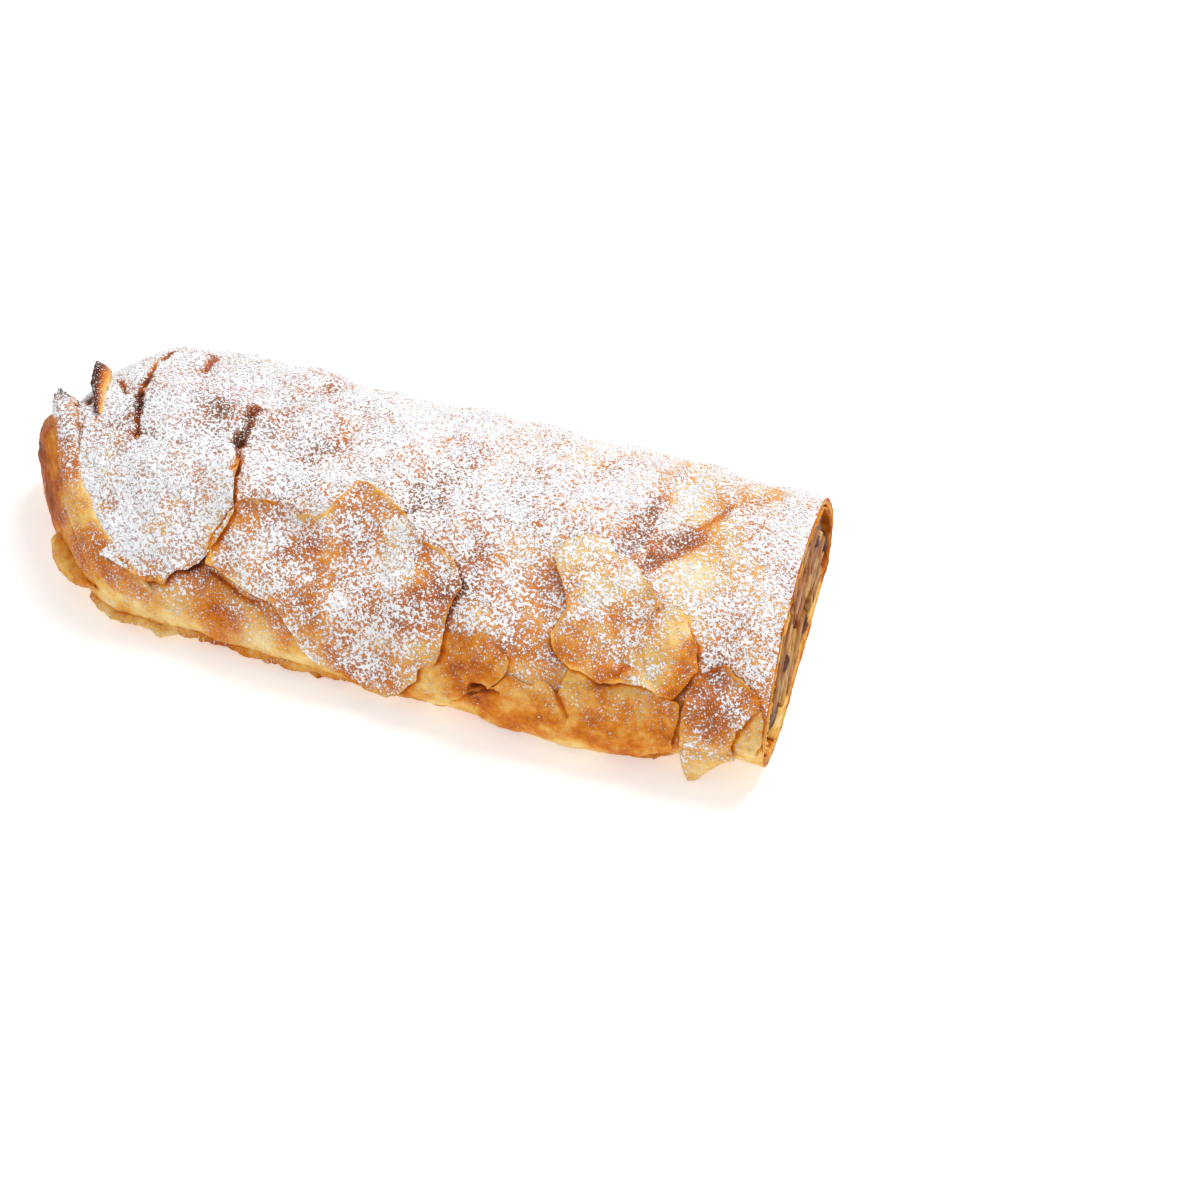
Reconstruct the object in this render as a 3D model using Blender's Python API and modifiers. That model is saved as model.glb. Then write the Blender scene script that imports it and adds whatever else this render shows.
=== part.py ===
"""Apple strudel: the long piece that is left after slices were cut from its right end.

Metres, +Z up. The roll lies along X on a flat underside at Z = 0, its tucked end at -X, its cut end at +X
and its thin sloping side towards -Y. Two parts: the rolled dough, with the inner turn of the sheet that
shows at the cut, and the apple filling, which runs through the dough to the cut.
"""

import bmesh
import bpy
import numpy as np

# ---- driving sizes of the roll -------------------------------------------------------------------
TUCKED_END = -0.1465  # X of the tucked end
CUT_END = 0.1493  # X of the cut, on the floor at the middle of the roll
RIDGE_Y = -0.006  # the ridge line lies a little to the front
RIDGE_HEIGHT = 0.0485
FRONT_REACH = 0.0550  # from the ridge line to the front side
BACK_REACH = 0.0605
BACK_REACH_AT_CUT = 0.0675
FRONT_REACH_AT_CUT = 0.0470
FRONT_WAIST = 0.011  # height at which the front side stands out most
FRONT_WAIST_AT_CUT = 0.020
BACK_WAIST = 0.020
FRONT_ROUND = 1.85  # superellipse powers: 2 is an ellipse, higher is boxier
FRONT_ROUND_AT_CUT = 1.45
BACK_ROUND = 2.15
UNDER_ROUND = 2.6
UNDERCUT = 1.6  # how far the lower curves would reach, as a multiple of the waist's height
UNDERCUT_AT_CUT = 1.04
NEAR_CUT_FROM = 0.085  # X over which the front side turns into its shape at the cut
NEAR_CUT_TO = 0.145

# ---- the two ends --------------------------------------------------------------------------------
FRONT_CORNER = 0.058  # length over which the tucked end narrows to the front, and its power
FRONT_CORNER_ROUND = 1.35
BACK_CORNER = 0.052
BACK_CORNER_ROUND = 1.6
END_DROP = 0.044  # length over which the tucked end comes down to its tip
END_DROP_ROUND = 2.5
END_TIP_HEIGHT = 0.014
CUT_SKEW = -0.052  # change of X along Y, and along Z, on the cut plane
CUT_LEAN = -0.100
SHEAR_ZONE = 0.070  # length over which the rings turn from upright to the cut plane

# ---- dough and filling ---------------------------------------------------------------------------
WALL = 0.0030
TURN_GAP = 0.0046  # filling between the outer wall and the inner turn of the sheet
TURN_WALL = 0.0018
TURN_ROOT = 196.0  # degrees round the section, from +Y over the top, where the inner turn leaves the wall
TURN_FOOT = 26.0  # degrees from there to the inner turn's other foot, and over which each side rises
TURN_TIP = 98.0
CAVITY_START = -0.128
CLEARANCE = 0.0003
NARROWEST_FILLING = 0.0016  # the filling stops where the gap at the inner turn's root gets narrower
TIP_BACKOFF = 1.2  # degrees that the filling keeps from the inner turn's tip

# ---- lumps of apple that show through the sheet ---------------------------------------------------
LUMP_HEIGHT = 0.0011
LUMP_WAVES = 12
LUMP_SEED = 11
SHORTEST_LUMP = 0.026
LONGEST_LUMP = 0.075
LUMPS_FROM = 0.012  # height over which the lumps grow from nothing to full
LUMPS_FULL = 0.028
CREASES = (  # start, end, half width and depth
    ((0.112, 0.024), (0.096, -0.014), 0.0042, 0.0026),
    ((0.101, 0.042), (0.086, -0.008), 0.0042, 0.0024),
    ((-0.042, 0.038), (-0.058, 0.020), 0.0040, 0.0020),
    ((-0.012, 0.020), (-0.034, 0.010), 0.0036, 0.0018),
    ((0.044, -0.010), (0.038, -0.020), 0.0060, 0.0024),
)

# ---- loose leaves of dough: foot as X and degrees, way to the tip, bow, tip width, thickness --------
FLAPS = {
    "corner_flap": ((0.118, 187), (0.142, 187), (-0.005, -0.010, -0.009), (0, -0.003, 0.002), 0.25, 0.0018),
    "end_flap": ((-0.118, 186), (-0.096, 186), (-0.003, -0.006, -0.005), (0, -0.001, 0.002), 0.35, 0.0018),
    "left_fold": ((-0.126, 140), (-0.134, 84), (-0.003, 0.000, 0.005), (-0.002, 0, 0.001), 0.45, 0.0028),
    "burnt_fold": ((-0.116, 98), (-0.131, 50), (-0.003, -0.001, 0.008), (0, 0, 0.002), 0.45, 0.0028),
}
FOOT_INSET = 0.0008

# ---- mesh density --------------------------------------------------------------------------------
RING_POINTS = 60
END_RINGS = 10
BODY_RINGS = 32
CAVITY_RINGS = 16
WALL_POINTS = 44
TURN_POINTS = 18
FLAP_STEPS = 7

# ---- colours, roughness --------------------------------------------------------------------------
CRUST_COLOUR = (0.62, 0.33, 0.11, 1.0)
CRUST_ROUGHNESS = 0.62
FILLING_COLOUR = (0.55, 0.33, 0.12, 1.0)
FILLING_ROUGHNESS = 0.35


def smooth_step(t):
    t = np.clip(t, 0.0, 1.0)
    return t * t * (3.0 - 2.0 * t)


def signed_power(value, power):
    return np.sign(value) * np.abs(value) ** power


def narrowing(x, length, power):
    """Share of the full size at x: a superellipse that grows from 0 at the tucked end to 1."""
    along = np.clip((x - TUCKED_END) / length, 0.0, 1.0)
    return (1.0 - (1.0 - along) ** power) ** (1.0 / power)


def lumps(x, y):
    """Outward swelling of the top: a few waves that cross each other, less the creases."""
    rng = np.random.default_rng(LUMP_SEED)
    swell = np.zeros_like(x)
    for _ in range(LUMP_WAVES):
        length = rng.uniform(SHORTEST_LUMP, LONGEST_LUMP)
        turn = rng.uniform(0.0, np.pi)
        phase = rng.uniform(0.0, 2.0 * np.pi)
        swell += np.cos(2.0 * np.pi / length * (x * np.cos(turn) + y * np.sin(turn)) + phase)
    swell *= LUMP_HEIGHT / np.sqrt(LUMP_WAVES / 2.0)
    for start, end, half_width, depth in CREASES:
        run_x = end[0] - start[0]
        run_y = end[1] - start[1]
        share = ((x - start[0]) * run_x + (y - start[1]) * run_y) / (run_x**2 + run_y**2)
        share = np.clip(share, 0.0, 1.0)
        away = np.hypot(x - start[0] - share * run_x, y - start[1] - share * run_y)
        swell -= depth * np.exp(-((away / half_width) ** 2))
    return swell


def towards_cut(x, body_value, cut_value):
    """A value of the front side that changes over the stretch before the cut."""
    share = smooth_step((x - NEAR_CUT_FROM) / (NEAR_CUT_TO - NEAR_CUT_FROM))
    return body_value + (cut_value - body_value) * share


def section(x, degrees, inset, floor):
    """Y and Z of the roll's section at x, moved inwards by inset and kept above the floor height.

    The angle runs from +Y over the top. Each quarter is a superellipse about the ridge line's Y and the
    waist's height; the lower ones are cut off flat.
    """
    cos = np.cos(np.radians(degrees))
    sin = np.sin(np.radians(degrees))
    front = cos < 0.0
    front_undercut = towards_cut(x, UNDERCUT, UNDERCUT_AT_CUT)
    front_round = towards_cut(x, FRONT_ROUND, FRONT_ROUND_AT_CUT)
    front_waist = towards_cut(x, FRONT_WAIST, FRONT_WAIST_AT_CUT)
    front_reach = towards_cut(x, FRONT_REACH, FRONT_REACH_AT_CUT)
    front_reach = front_reach * narrowing(x, FRONT_CORNER, FRONT_CORNER_ROUND)
    back_share = (x - TUCKED_END) / (CUT_END - TUCKED_END)
    back_reach = BACK_REACH + (BACK_REACH_AT_CUT - BACK_REACH) * back_share
    back_reach = back_reach * narrowing(x, BACK_CORNER, BACK_CORNER_ROUND)
    drop = narrowing(x, END_DROP, END_DROP_ROUND)
    reach = np.where(front, front_reach, back_reach)
    waist = np.where(front, front_waist, BACK_WAIST)
    under = waist * np.where(front, front_undercut, UNDERCUT)
    power = np.where(sin < 0.0, UNDER_ROUND, np.where(front, front_round, BACK_ROUND))
    half_width = np.maximum(reach - inset, 0.0)
    half_height = np.maximum(np.where(sin > 0.0, RIDGE_HEIGHT - waist, under) - inset, 0.0)
    y = RIDGE_Y + half_width * signed_power(cos, 2.0 / power)
    z = np.maximum(waist + half_height * signed_power(sin, 2.0 / power), floor)
    swell = lumps(x, y) * smooth_step((z - LUMPS_FROM) / (LUMPS_FULL - LUMPS_FROM)) * drop
    away = np.hypot(y - RIDGE_Y, z - END_TIP_HEIGHT) + 1e-9
    y = y + swell * (y - RIDGE_Y) / away
    z = z + swell * (z - END_TIP_HEIGHT) / away
    return y, END_TIP_HEIGHT + (z - END_TIP_HEIGHT) * drop


def in_place(x, y, z):
    """Points of the rings at x, sheared near the cut so that the last ring lies in the cut plane."""
    turned = smooth_step((x - CUT_END + SHEAR_ZONE) / SHEAR_ZONE)
    return np.stack([x + turned * (CUT_SKEW * y + CUT_LEAN * z), y, z], axis=-1)


def outer_rings():
    """Rings of the crust's outside, close together where the tucked end rounds off."""
    turn = np.linspace(0.0, np.pi / 2.0, END_RINGS + 1)[1:-1]
    ends = TUCKED_END + END_DROP * (1.0 - np.cos(turn))
    body = np.linspace(TUCKED_END + END_DROP, CUT_END, BODY_RINGS)
    degrees = np.linspace(0.0, 360.0, RING_POINTS, endpoint=False)
    x, angle = np.meshgrid(np.concatenate([ends, body]), degrees, indexing="ij")
    return in_place(x, *section(x, angle, 0.0, 0.0))


def hollow_rings(margin):
    """Rings of the hollow: round the wall, then up under the inner turn and back over it."""
    foot = TURN_ROOT + TURN_FOOT
    wall = np.linspace(TURN_ROOT, foot - 360.0, WALL_POINTS)
    under = np.linspace(foot, TURN_TIP, TURN_POINTS)[1:]
    over = np.linspace(TURN_TIP, TURN_ROOT, TURN_POINTS)[:-1]
    gap = TURN_GAP * smooth_step((TURN_ROOT - over) / TURN_FOOT)
    under_gap = (TURN_GAP + TURN_WALL) * smooth_step((foot - under) / TURN_FOOT)
    if margin:
        wide = gap > NARROWEST_FILLING
        over = over[wide]
        gap = gap[wide]
        wall = wall[wall < over[-1]]
        under[-1] -= TIP_BACKOFF
        over[0] -= TIP_BACKOFF
    angles = np.concatenate([wall, under, over])
    insets = WALL + np.concatenate([np.full(wall.size, margin), under_gap + margin, gap - margin])
    stations = np.linspace(CAVITY_START, CUT_END, CAVITY_RINGS)
    stations[0] += margin
    x, angle = np.meshgrid(stations, angles, indexing="ij")
    return in_place(x, *section(x, angle, np.broadcast_to(insets, x.shape), WALL + margin))


def add_rings(bm, rings):
    """Quads between neighbouring closed rings; returns the vertices ring by ring."""
    rows = [[bm.verts.new(point) for point in ring] for ring in rings.tolist()]
    for row, following in zip(rows, rows[1:]):
        for i in range(len(row)):
            j = (i + 1) % len(row)
            bm.faces.new((row[i], row[j], following[j], following[i]))
    return rows


def ring_edges(bm, row):
    return [bm.edges.get((row[i], row[(i + 1) % len(row)])) for i in range(len(row))]


def fill_flat(bm, edges):
    bmesh.ops.triangle_fill(bm, use_beauty=True, use_dissolve=False, edges=edges)


def finish_mesh(bm, name, sharp_degrees):
    bmesh.ops.recalc_face_normals(bm, faces=bm.faces)
    mesh = bpy.data.meshes.new(name)
    bm.to_mesh(mesh)
    bm.free()
    mesh.shade_smooth()
    mesh.set_sharp_from_angle(angle=np.radians(sharp_degrees))
    return mesh


def crust_mesh():
    bm = bmesh.new()
    outer = add_rings(bm, outer_rings())
    tip = bm.verts.new((TUCKED_END, RIDGE_Y, END_TIP_HEIGHT))
    first = outer[0]
    for i in range(len(first)):
        bm.faces.new((tip, first[(i + 1) % len(first)], first[i]))
    hollow = add_rings(bm, hollow_rings(0.0))
    fill_flat(bm, ring_edges(bm, hollow[0]))
    fill_flat(bm, ring_edges(bm, outer[-1]) + ring_edges(bm, hollow[-1]))
    return finish_mesh(bm, "rolled_dough", 50.0)


def filling_mesh():
    bm = bmesh.new()
    rings = add_rings(bm, hollow_rings(CLEARANCE))
    fill_flat(bm, ring_edges(bm, rings[0]))
    fill_flat(bm, ring_edges(bm, rings[-1]))
    return finish_mesh(bm, "apple_filling", 50.0)


def flap_mesh(name, foot_start, foot_end, reach, bow, tip_share):
    """A leaf of dough from its foot in the crust's wall to its tip, narrowing on the way and bowed."""
    stations = np.linspace(foot_start[0], foot_end[0], FLAP_STEPS)
    degrees = np.linspace(foot_start[1], foot_end[1], FLAP_STEPS)
    foot = in_place(stations, *section(stations, degrees, FOOT_INSET, 0.0))
    middle = foot.mean(axis=0)
    v = np.linspace(0.0, 1.0, FLAP_STEPS)[:, None, None]
    width = 1.0 - (1.0 - tip_share) * v**1.4
    points = middle + width * (foot - middle) + v * np.array(reach) + np.sin(np.pi * v) * np.array(bow)
    corners = np.arange(FLAP_STEPS**2).reshape(FLAP_STEPS, FLAP_STEPS)
    faces = np.stack([corners[:-1, :-1], corners[:-1, 1:], corners[1:, 1:], corners[1:, :-1]], axis=-1)
    mesh = bpy.data.meshes.new(name)
    mesh.from_pydata(points.reshape(-1, 3).tolist(), [], faces.reshape(-1, 4).tolist())
    return mesh


def material(name, colour, roughness):
    made = bpy.data.materials.new(name)
    made.use_nodes = True
    shader = made.node_tree.nodes["Principled BSDF"]
    shader.inputs["Base Color"].default_value = colour
    shader.inputs["Roughness"].default_value = roughness
    shader.inputs["Metallic"].default_value = 0.0
    made.diffuse_color = colour
    return made


def add_object(name, mesh, collection, parent, look):
    mesh.materials.append(look)
    made = bpy.data.objects.new(name, mesh)
    collection.objects.link(made)
    made.parent = parent
    return made


def centre_over_origin(root, crust):
    """Moves the whole so that the middle of the crust's box is over the origin."""
    graph = bpy.context.evaluated_depsgraph_get()
    corners = np.array([list(corner) for corner in crust.evaluated_get(graph).bound_box])
    middle = (corners.min(axis=0) + corners.max(axis=0)) / 2.0
    root.location = (-middle[0], -middle[1], 0.0)
    bpy.context.view_layer.update()


def main():
    for old in list(bpy.data.objects):
        bpy.data.objects.remove(old)
    parts = bpy.data.collections.new("apple_strudel")
    helpers = bpy.data.collections.new("cutters")
    helpers.hide_render = True
    bpy.context.scene.collection.children.link(parts)
    bpy.context.scene.collection.children.link(helpers)
    root = bpy.data.objects.new("strudel", None)
    parts.objects.link(root)

    crust_look = material("baked_dough", CRUST_COLOUR, CRUST_ROUGHNESS)
    filling_look = material("apple_filling", FILLING_COLOUR, FILLING_ROUGHNESS)
    crust = add_object("crust", crust_mesh(), parts, root, crust_look)
    add_object("apple_filling", filling_mesh(), parts, root, filling_look)
    for name, (foot_start, foot_end, reach, bow, tip_share, thickness) in FLAPS.items():
        leaf = flap_mesh(name, foot_start, foot_end, reach, bow, tip_share)
        flap = add_object(name, leaf, helpers, root, crust_look)
        flap.hide_render = True
        flap.display_type = "WIRE"
        wall = flap.modifiers.new("thickness", "SOLIDIFY")
        wall.thickness = thickness
        wall.offset = 0.0
        join = crust.modifiers.new("join_" + name, "BOOLEAN")
        join.operation = "UNION"
        join.solver = "EXACT"
        join.object = flap
    centre_over_origin(root, crust)


main()
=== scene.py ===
import bpy
import numpy as np
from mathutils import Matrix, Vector


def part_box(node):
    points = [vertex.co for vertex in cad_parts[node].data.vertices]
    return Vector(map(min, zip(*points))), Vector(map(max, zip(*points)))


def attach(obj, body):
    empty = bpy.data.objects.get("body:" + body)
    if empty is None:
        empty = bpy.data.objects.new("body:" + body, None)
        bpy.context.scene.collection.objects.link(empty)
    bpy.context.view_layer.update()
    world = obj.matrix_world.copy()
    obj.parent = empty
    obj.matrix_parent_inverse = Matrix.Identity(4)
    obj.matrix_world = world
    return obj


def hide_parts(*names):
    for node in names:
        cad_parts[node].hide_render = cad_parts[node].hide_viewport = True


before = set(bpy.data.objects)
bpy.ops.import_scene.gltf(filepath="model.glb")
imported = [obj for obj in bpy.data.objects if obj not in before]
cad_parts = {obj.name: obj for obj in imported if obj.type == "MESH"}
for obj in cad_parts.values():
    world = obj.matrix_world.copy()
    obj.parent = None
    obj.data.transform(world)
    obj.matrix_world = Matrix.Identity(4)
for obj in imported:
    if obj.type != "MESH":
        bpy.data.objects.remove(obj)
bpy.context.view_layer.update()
print("frame loaded")


def smoothStep(t):  # t squared times (3 - 2t), held at 0 and 1 outside
    t = np.clip(t, 0.0, 1.0)
    return t * t * (3.0 - 2.0 * t)


def signedPower(value, power):  # the power of its size, with its own sign
    return np.sign(value) * np.abs(value) ** power


def valueNoise(u, v, seed):  # random values on a lattice, eased between its points, from -1 to 1
    lattice = np.random.default_rng(seed).uniform(-1.0, 1.0, (64, 64))
    left, low = np.floor(u).astype(int), np.floor(v).astype(int)
    across, up = smoothStep(u - left), smoothStep(v - low)
    left, right, low, high = left % 64, (left + 1) % 64, low % 64, (low + 1) % 64
    below = lattice[left, low] * (1 - across) + lattice[right, low] * across
    above = lattice[left, high] * (1 - across) + lattice[right, high] * across
    return below * (1 - up) + above * up


def fractalNoise(u, v, cell, octaves, seed):  # each octave is half the size and 0.55 of the height
    total = np.zeros(np.broadcast(u, v).shape)
    height = 1.0
    for octave in range(octaves):
        total += height * valueNoise(u / cell + 17.3 * octave, v / cell + 9.1 * octave, seed + octave)
        height *= 0.55
        cell *= 0.5
    return total


def lengthsAlong(line):  # the length from the first point of a line to each of its points
    return np.concatenate([[0.0], np.cumsum(np.hypot(*np.diff(line, axis=0).T))])


def between(ends, share):  # the first end where share is 0, the second where it is 1
    return ends[0] + (ends[1] - ends[0]) * share


def unit(vectors):  # each vector over its length
    return vectors / (np.linalg.norm(vectors, axis=-1, keepdims=True) + 1e-12)


# the roll's outer surface
# A point on it is given by x along the roll and s, the length round the section from the ridge:
# s grows towards the back and is negative on the front side.

roll = {
    "tuckedEnd": -0.1465, "cutEnd": 0.1493, "ridgeY": -0.006, "ridgeHeight": 0.0485,
    "frontReach": 0.0550, "frontReachAtCut": 0.0470, "backReach": 0.0605, "backReachAtCut": 0.0675,
    "frontWaist": 0.011, "frontWaistAtCut": 0.020, "backWaist": 0.020,
    "frontRound": 1.85, "frontRoundAtCut": 1.45, "backRound": 2.15, "underRound": 2.6,
    "undercut": 1.6, "undercutAtCut": 1.04, "nearCut": (0.085, 0.145),
    "frontCorner": (0.058, 1.35), "backCorner": (0.052, 1.6), "endDrop": (0.044, 2.5),
    "endTipHeight": 0.014,
    "cutSkew": -0.052, "cutLean": -0.100, "shearZone": 0.070,
    "lumpHeight": 0.0011, "lumpWaves": 12, "lumpSeed": 11, "lumpSizes": (0.026, 0.075),
    "lumpRise": (0.012, 0.028),
}
valleys = (  # start and end in x and y, half width, depth
    ((0.112, 0.024), (0.096, -0.014), 0.0042, 0.0026),
    ((0.101, 0.042), (0.086, -0.008), 0.0042, 0.0024),
    ((-0.042, 0.038), (-0.058, 0.020), 0.0040, 0.0020),
    ((-0.012, 0.020), (-0.034, 0.010), 0.0036, 0.0018),
    ((0.044, -0.010), (0.038, -0.020), 0.0060, 0.0024),
)


def narrowing(x, length, power):  # 0 at the tucked end, rising like a quarter of a superellipse to 1
    along = np.clip((x - roll["tuckedEnd"]) / length, 0.0, 1.0)
    return (1.0 - (1.0 - along) ** power) ** (1.0 / power)


def distanceToLine(x, y, start, end):  # to the nearest point of the stretch between start and end
    runX, runY = end[0] - start[0], end[1] - start[1]
    share = np.clip(((x - start[0]) * runX + (y - start[1]) * runY) / (runX**2 + runY**2), 0.0, 1.0)
    return np.hypot(x - start[0] - share * runX, y - start[1] - share * runY)


def lumps(x, y):  # cosine waves of random lengths and directions, less a bell-shaped trough at each valley
    rng = np.random.default_rng(roll["lumpSeed"])
    swell = np.zeros_like(x)
    for _ in range(roll["lumpWaves"]):
        length = rng.uniform(*roll["lumpSizes"])
        turn = rng.uniform(0.0, np.pi)
        phase = rng.uniform(0.0, 2.0 * np.pi)
        swell += np.cos(2.0 * np.pi / length * (x * np.cos(turn) + y * np.sin(turn)) + phase)
    swell *= roll["lumpHeight"] / np.sqrt(roll["lumpWaves"] / 2.0)
    for start, end, halfWidth, depth in valleys:
        swell -= depth * np.exp(-((distanceToLine(x, y, start, end) / halfWidth) ** 2))
    return swell


def towardsCut(x, bodyValue, cutValue):  # the body's value, easing into the cut's over nearCut
    first, last = roll["nearCut"]
    return between((bodyValue, cutValue), smoothStep((x - first) / (last - first)))


def sectionAt(x, degrees, inset, floorHeight):  # y and z of the section at x, moved inwards by inset
    cos, sin = np.cos(np.radians(degrees)), np.sin(np.radians(degrees))
    front = cos < 0.0
    frontReach = towardsCut(x, roll["frontReach"], roll["frontReachAtCut"])
    frontReach = frontReach * narrowing(x, *roll["frontCorner"])
    backShare = (x - roll["tuckedEnd"]) / (roll["cutEnd"] - roll["tuckedEnd"])
    backReach = between((roll["backReach"], roll["backReachAtCut"]), backShare)
    reach = np.where(front, frontReach, backReach * narrowing(x, *roll["backCorner"]))
    waist = np.where(front, towardsCut(x, roll["frontWaist"], roll["frontWaistAtCut"]), roll["backWaist"])
    under = waist * np.where(front, towardsCut(x, roll["undercut"], roll["undercutAtCut"]), roll["undercut"])
    upper = np.where(front, towardsCut(x, roll["frontRound"], roll["frontRoundAtCut"]), roll["backRound"])
    power = np.where(sin < 0.0, roll["underRound"], upper)
    halfWidth = np.maximum(reach - inset, 0.0)
    halfHeight = np.maximum(np.where(sin > 0.0, roll["ridgeHeight"] - waist, under) - inset, 0.0)
    y = roll["ridgeY"] + halfWidth * signedPower(cos, 2.0 / power)
    z = np.maximum(waist + halfHeight * signedPower(sin, 2.0 / power), floorHeight)
    drop = narrowing(x, *roll["endDrop"])
    tip = roll["endTipHeight"]
    rise = roll["lumpRise"]
    swell = lumps(x, y) * smoothStep((z - rise[0]) / (rise[1] - rise[0])) * drop
    away = np.hypot(y - roll["ridgeY"], z - tip) + 1e-9
    y = y + swell * (y - roll["ridgeY"]) / away
    z = z + swell * (z - tip) / away
    return y, tip + (z - tip) * drop


def inPlace(x, y, z):  # leans the last stretch so that it ends in the cut plane
    turned = smoothStep((x - roll["cutEnd"] + roll["shearZone"]) / roll["shearZone"])
    return np.stack([x + turned * (roll["cutSkew"] * y + roll["cutLean"] * z), y, z], axis=-1)


# the length round the section at the middle of the roll turns s into degrees
roundSteps = 1441
roundDegrees = np.linspace(270.0, -90.0, roundSteps)
roundYZ = np.stack(sectionAt(np.zeros(roundSteps), roundDegrees, 0.0, 0.0), axis=-1)
roundLength = lengthsAlong(roundYZ)
roundLength -= np.interp(-90.0, -roundDegrees, roundLength)
frontEdge, backEdge = roundLength[0], roundLength[-1]

# the frame's middle is over the origin, so the surface is shifted by as much as the frame's crust is
crustLow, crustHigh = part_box("crust")
cutRing = inPlace(roll["cutEnd"], *sectionAt(np.full(roundSteps, roll["cutEnd"]), roundDegrees, 0.0, 0.0))
shift = np.array([crustHigh.x - cutRing[:, 0].max(), crustHigh.y - cutRing[:, 1].max(), 0.0])


def skinPlace(x, s):  # the section at x, at the degrees that s stands for, leant towards the cut and shifted
    degrees = np.interp(s, roundLength, roundDegrees)
    return inPlace(x, *sectionAt(x, degrees, 0.0, 0.0)) + shift


def skinFrame(x, s):  # the point on the surface and the outward direction there
    x, s = np.broadcast_arrays(np.asarray(x, float), np.asarray(s, float))
    step = 0.0004
    alongX = skinPlace(np.minimum(x + step, roll["cutEnd"]), s)
    alongX -= skinPlace(np.maximum(x - step, roll["tuckedEnd"] + 1e-5), s)
    alongS = skinPlace(x, s + step) - skinPlace(x, s - step)
    return skinPlace(x, s), unit(np.cross(alongX, alongS))


# browning and dusting over the whole roll

finish = {
    # s in mm, share of the surface under sugar, browning
    "bands": (
        (-135, 0.00, 0.30), (-88, 0.02, 0.18), (-76, 0.05, 0.24), (-64, 0.16, 0.38), (-52, 0.36, 0.46),
        (-38, 0.54, 0.46), (-20, 0.62, 0.54), (10, 0.65, 0.58), (45, 0.69, 0.54), (66, 0.72, 0.40),
        (84, 0.56, 0.42), (100, 0.28, 0.42), (118, 0.06, 0.32), (155, 0.00, 0.28),
    ),
    # x and s in mm, reach along each, change of dusting, change of browning
    "spots": (
        (-136, -46, 15, 34, -1.60, 0.13), (-40, 34, 14, 10, -0.10, 0.08), (5, 42, 26, 14, 0.12, -0.10),
        (42, -20, 8, 9, -0.12, 0.16), (118, 2, 14, 22, -0.10, -0.18), (60, 50, 46, 10, 0.02, -0.20),
        (118, 46, 26, 14, -0.06, -0.20), (56, -30, 16, 16, -0.08, -0.06), (10, -74, 70, 8, -0.04, -0.10),
        (32, 8, 20, 12, 0.10, -0.06), (-86, -64, 22, 6, -0.04, -0.04), (-72, 12, 8, 10, -0.22, 0.02),
        (128, -38, 10, 8, -0.05, 0.10), (146, -20, 8, 40, 0.02, -0.10), (105, 12, 40, 48, -0.10, -0.24),
        (-100, 30, 16, 20, 0.02, -0.02), (-44, -64, 10, 6, -0.12, 0.24), (-32, -66, 12, 7, 0.22, 0.02),
        (-84, 40, 30, 22, -0.08, 0.04), (-62, -62, 12, 8, 0.10, -0.06), (46, -36, 18, 14, 0.10, 0.00),
    ),
    # start and end in x and s, half width, depth in mm, change of dusting, change of browning; the two
    # changes paint shade into the crease, less sugar and browner
    "creases": (
        (115, 26, 98, -4, 5.4, 0.3, -0.25, 0.34), (93, 45, 89, 4, 5.4, 0.3, -0.17, 0.28),
        (132, 43, 115, 22, 4.5, 0.4, -0.18, 0.10), (-61, 18, -57, -1, 2.8, 1.2, -0.52, 0.34),
        (-57, -1, -53, -13, 1.7, 0.9, -0.44, 0.30), (-45, 44, -53, 6, 4.5, 0.5, -0.16, 0.14),
        (-20, 36, -30, 4, 5.5, 0.6, -0.12, 0.12), (24, 28, 10, -8, 4.6, 0.6, -0.12, 0.12),
        (18, -4, 11, -12, 3.2, 0.8, -0.20, 0.12), (33, 39, 22, 17, 4.0, 0.4, -0.10, 0.10),
        (68, 48, 60, 8, 5.0, 0.5, -0.14, 0.06), (66, -18, 60, -46, 5.0, 0.5, -0.12, 0.04),
        (-111, 50, -109, 37, 1.0, 0.9, -0.80, 0.18), (-111, 36, -104, 11, 1.0, 1.2, -0.90, 0.20),
        (-104, 11, -97, -8, 1.1, 0.9, -0.70, 0.20), (-117, 22, -111, 12, 1.1, 0.7, -0.60, 0.14),
        (-95, 52, -92, 40, 1.8, 0.8, -0.45, 0.10), (51, -65, 59, -62, 1.3, 1.6, -0.60, 0.50),
        (-50, -52, -30, -56, 0.7, 0.9, -0.40, 0.24), (80, -59, 85, -66, 0.9, 0.6, -0.30, 0.30),
        (101, -44, 99, -50, 0.8, 0.5, -0.20, 0.12), (-129, 2, -120, -30, 1.2, 1.2, -0.30, 0.24),
        (-131, 22, -121, 2, 1.8, 0.6, -0.90, 0.44), (-120, -30, -106, -55, 1.2, 1.2, -0.30, 0.24),
    ),
    # x and s in mm, reach along each, depth in mm
    "dents": ((-131, 26, 9, 22, 5.0), (-146, 40, 12, 30, 3.0)),
}


def creaseShare(x, s, start, end, halfWidth):  # 1 on the crease's line, near 0 at twice its half width
    jitter = 0.0011 * fractalNoise(x, s, 0.0065, 3, 73)
    away = distanceToLine((x + jitter) * 1000.0, (s - jitter) * 1000.0, start, end)
    wander = 1.0 + 0.40 * fractalNoise(x, s, 0.007, 2, 71)
    return np.exp(-((away / (halfWidth * wander)) ** 2))


def spotShare(x, s, atX, atS, reachX, reachS):  # 1 at the spot, falling away over its reach in mm
    return np.exp(-(((x * 1000.0 - atX) / reachX) ** 2) - ((s * 1000.0 - atS) / reachS) ** 2)


def addCreaseShade(x, s, dusting, browning):  # painted shade in the creases: each crease changes both by its own amount times its share
    for startX, startS, endX, endS, halfWidth, _, dust, brown in finish["creases"]:
        share = creaseShare(x, s, (startX, startS), (endX, endS), halfWidth)
        dusting = dusting + dust * share
        browning = browning + brown * share
    return dusting, browning


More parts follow.
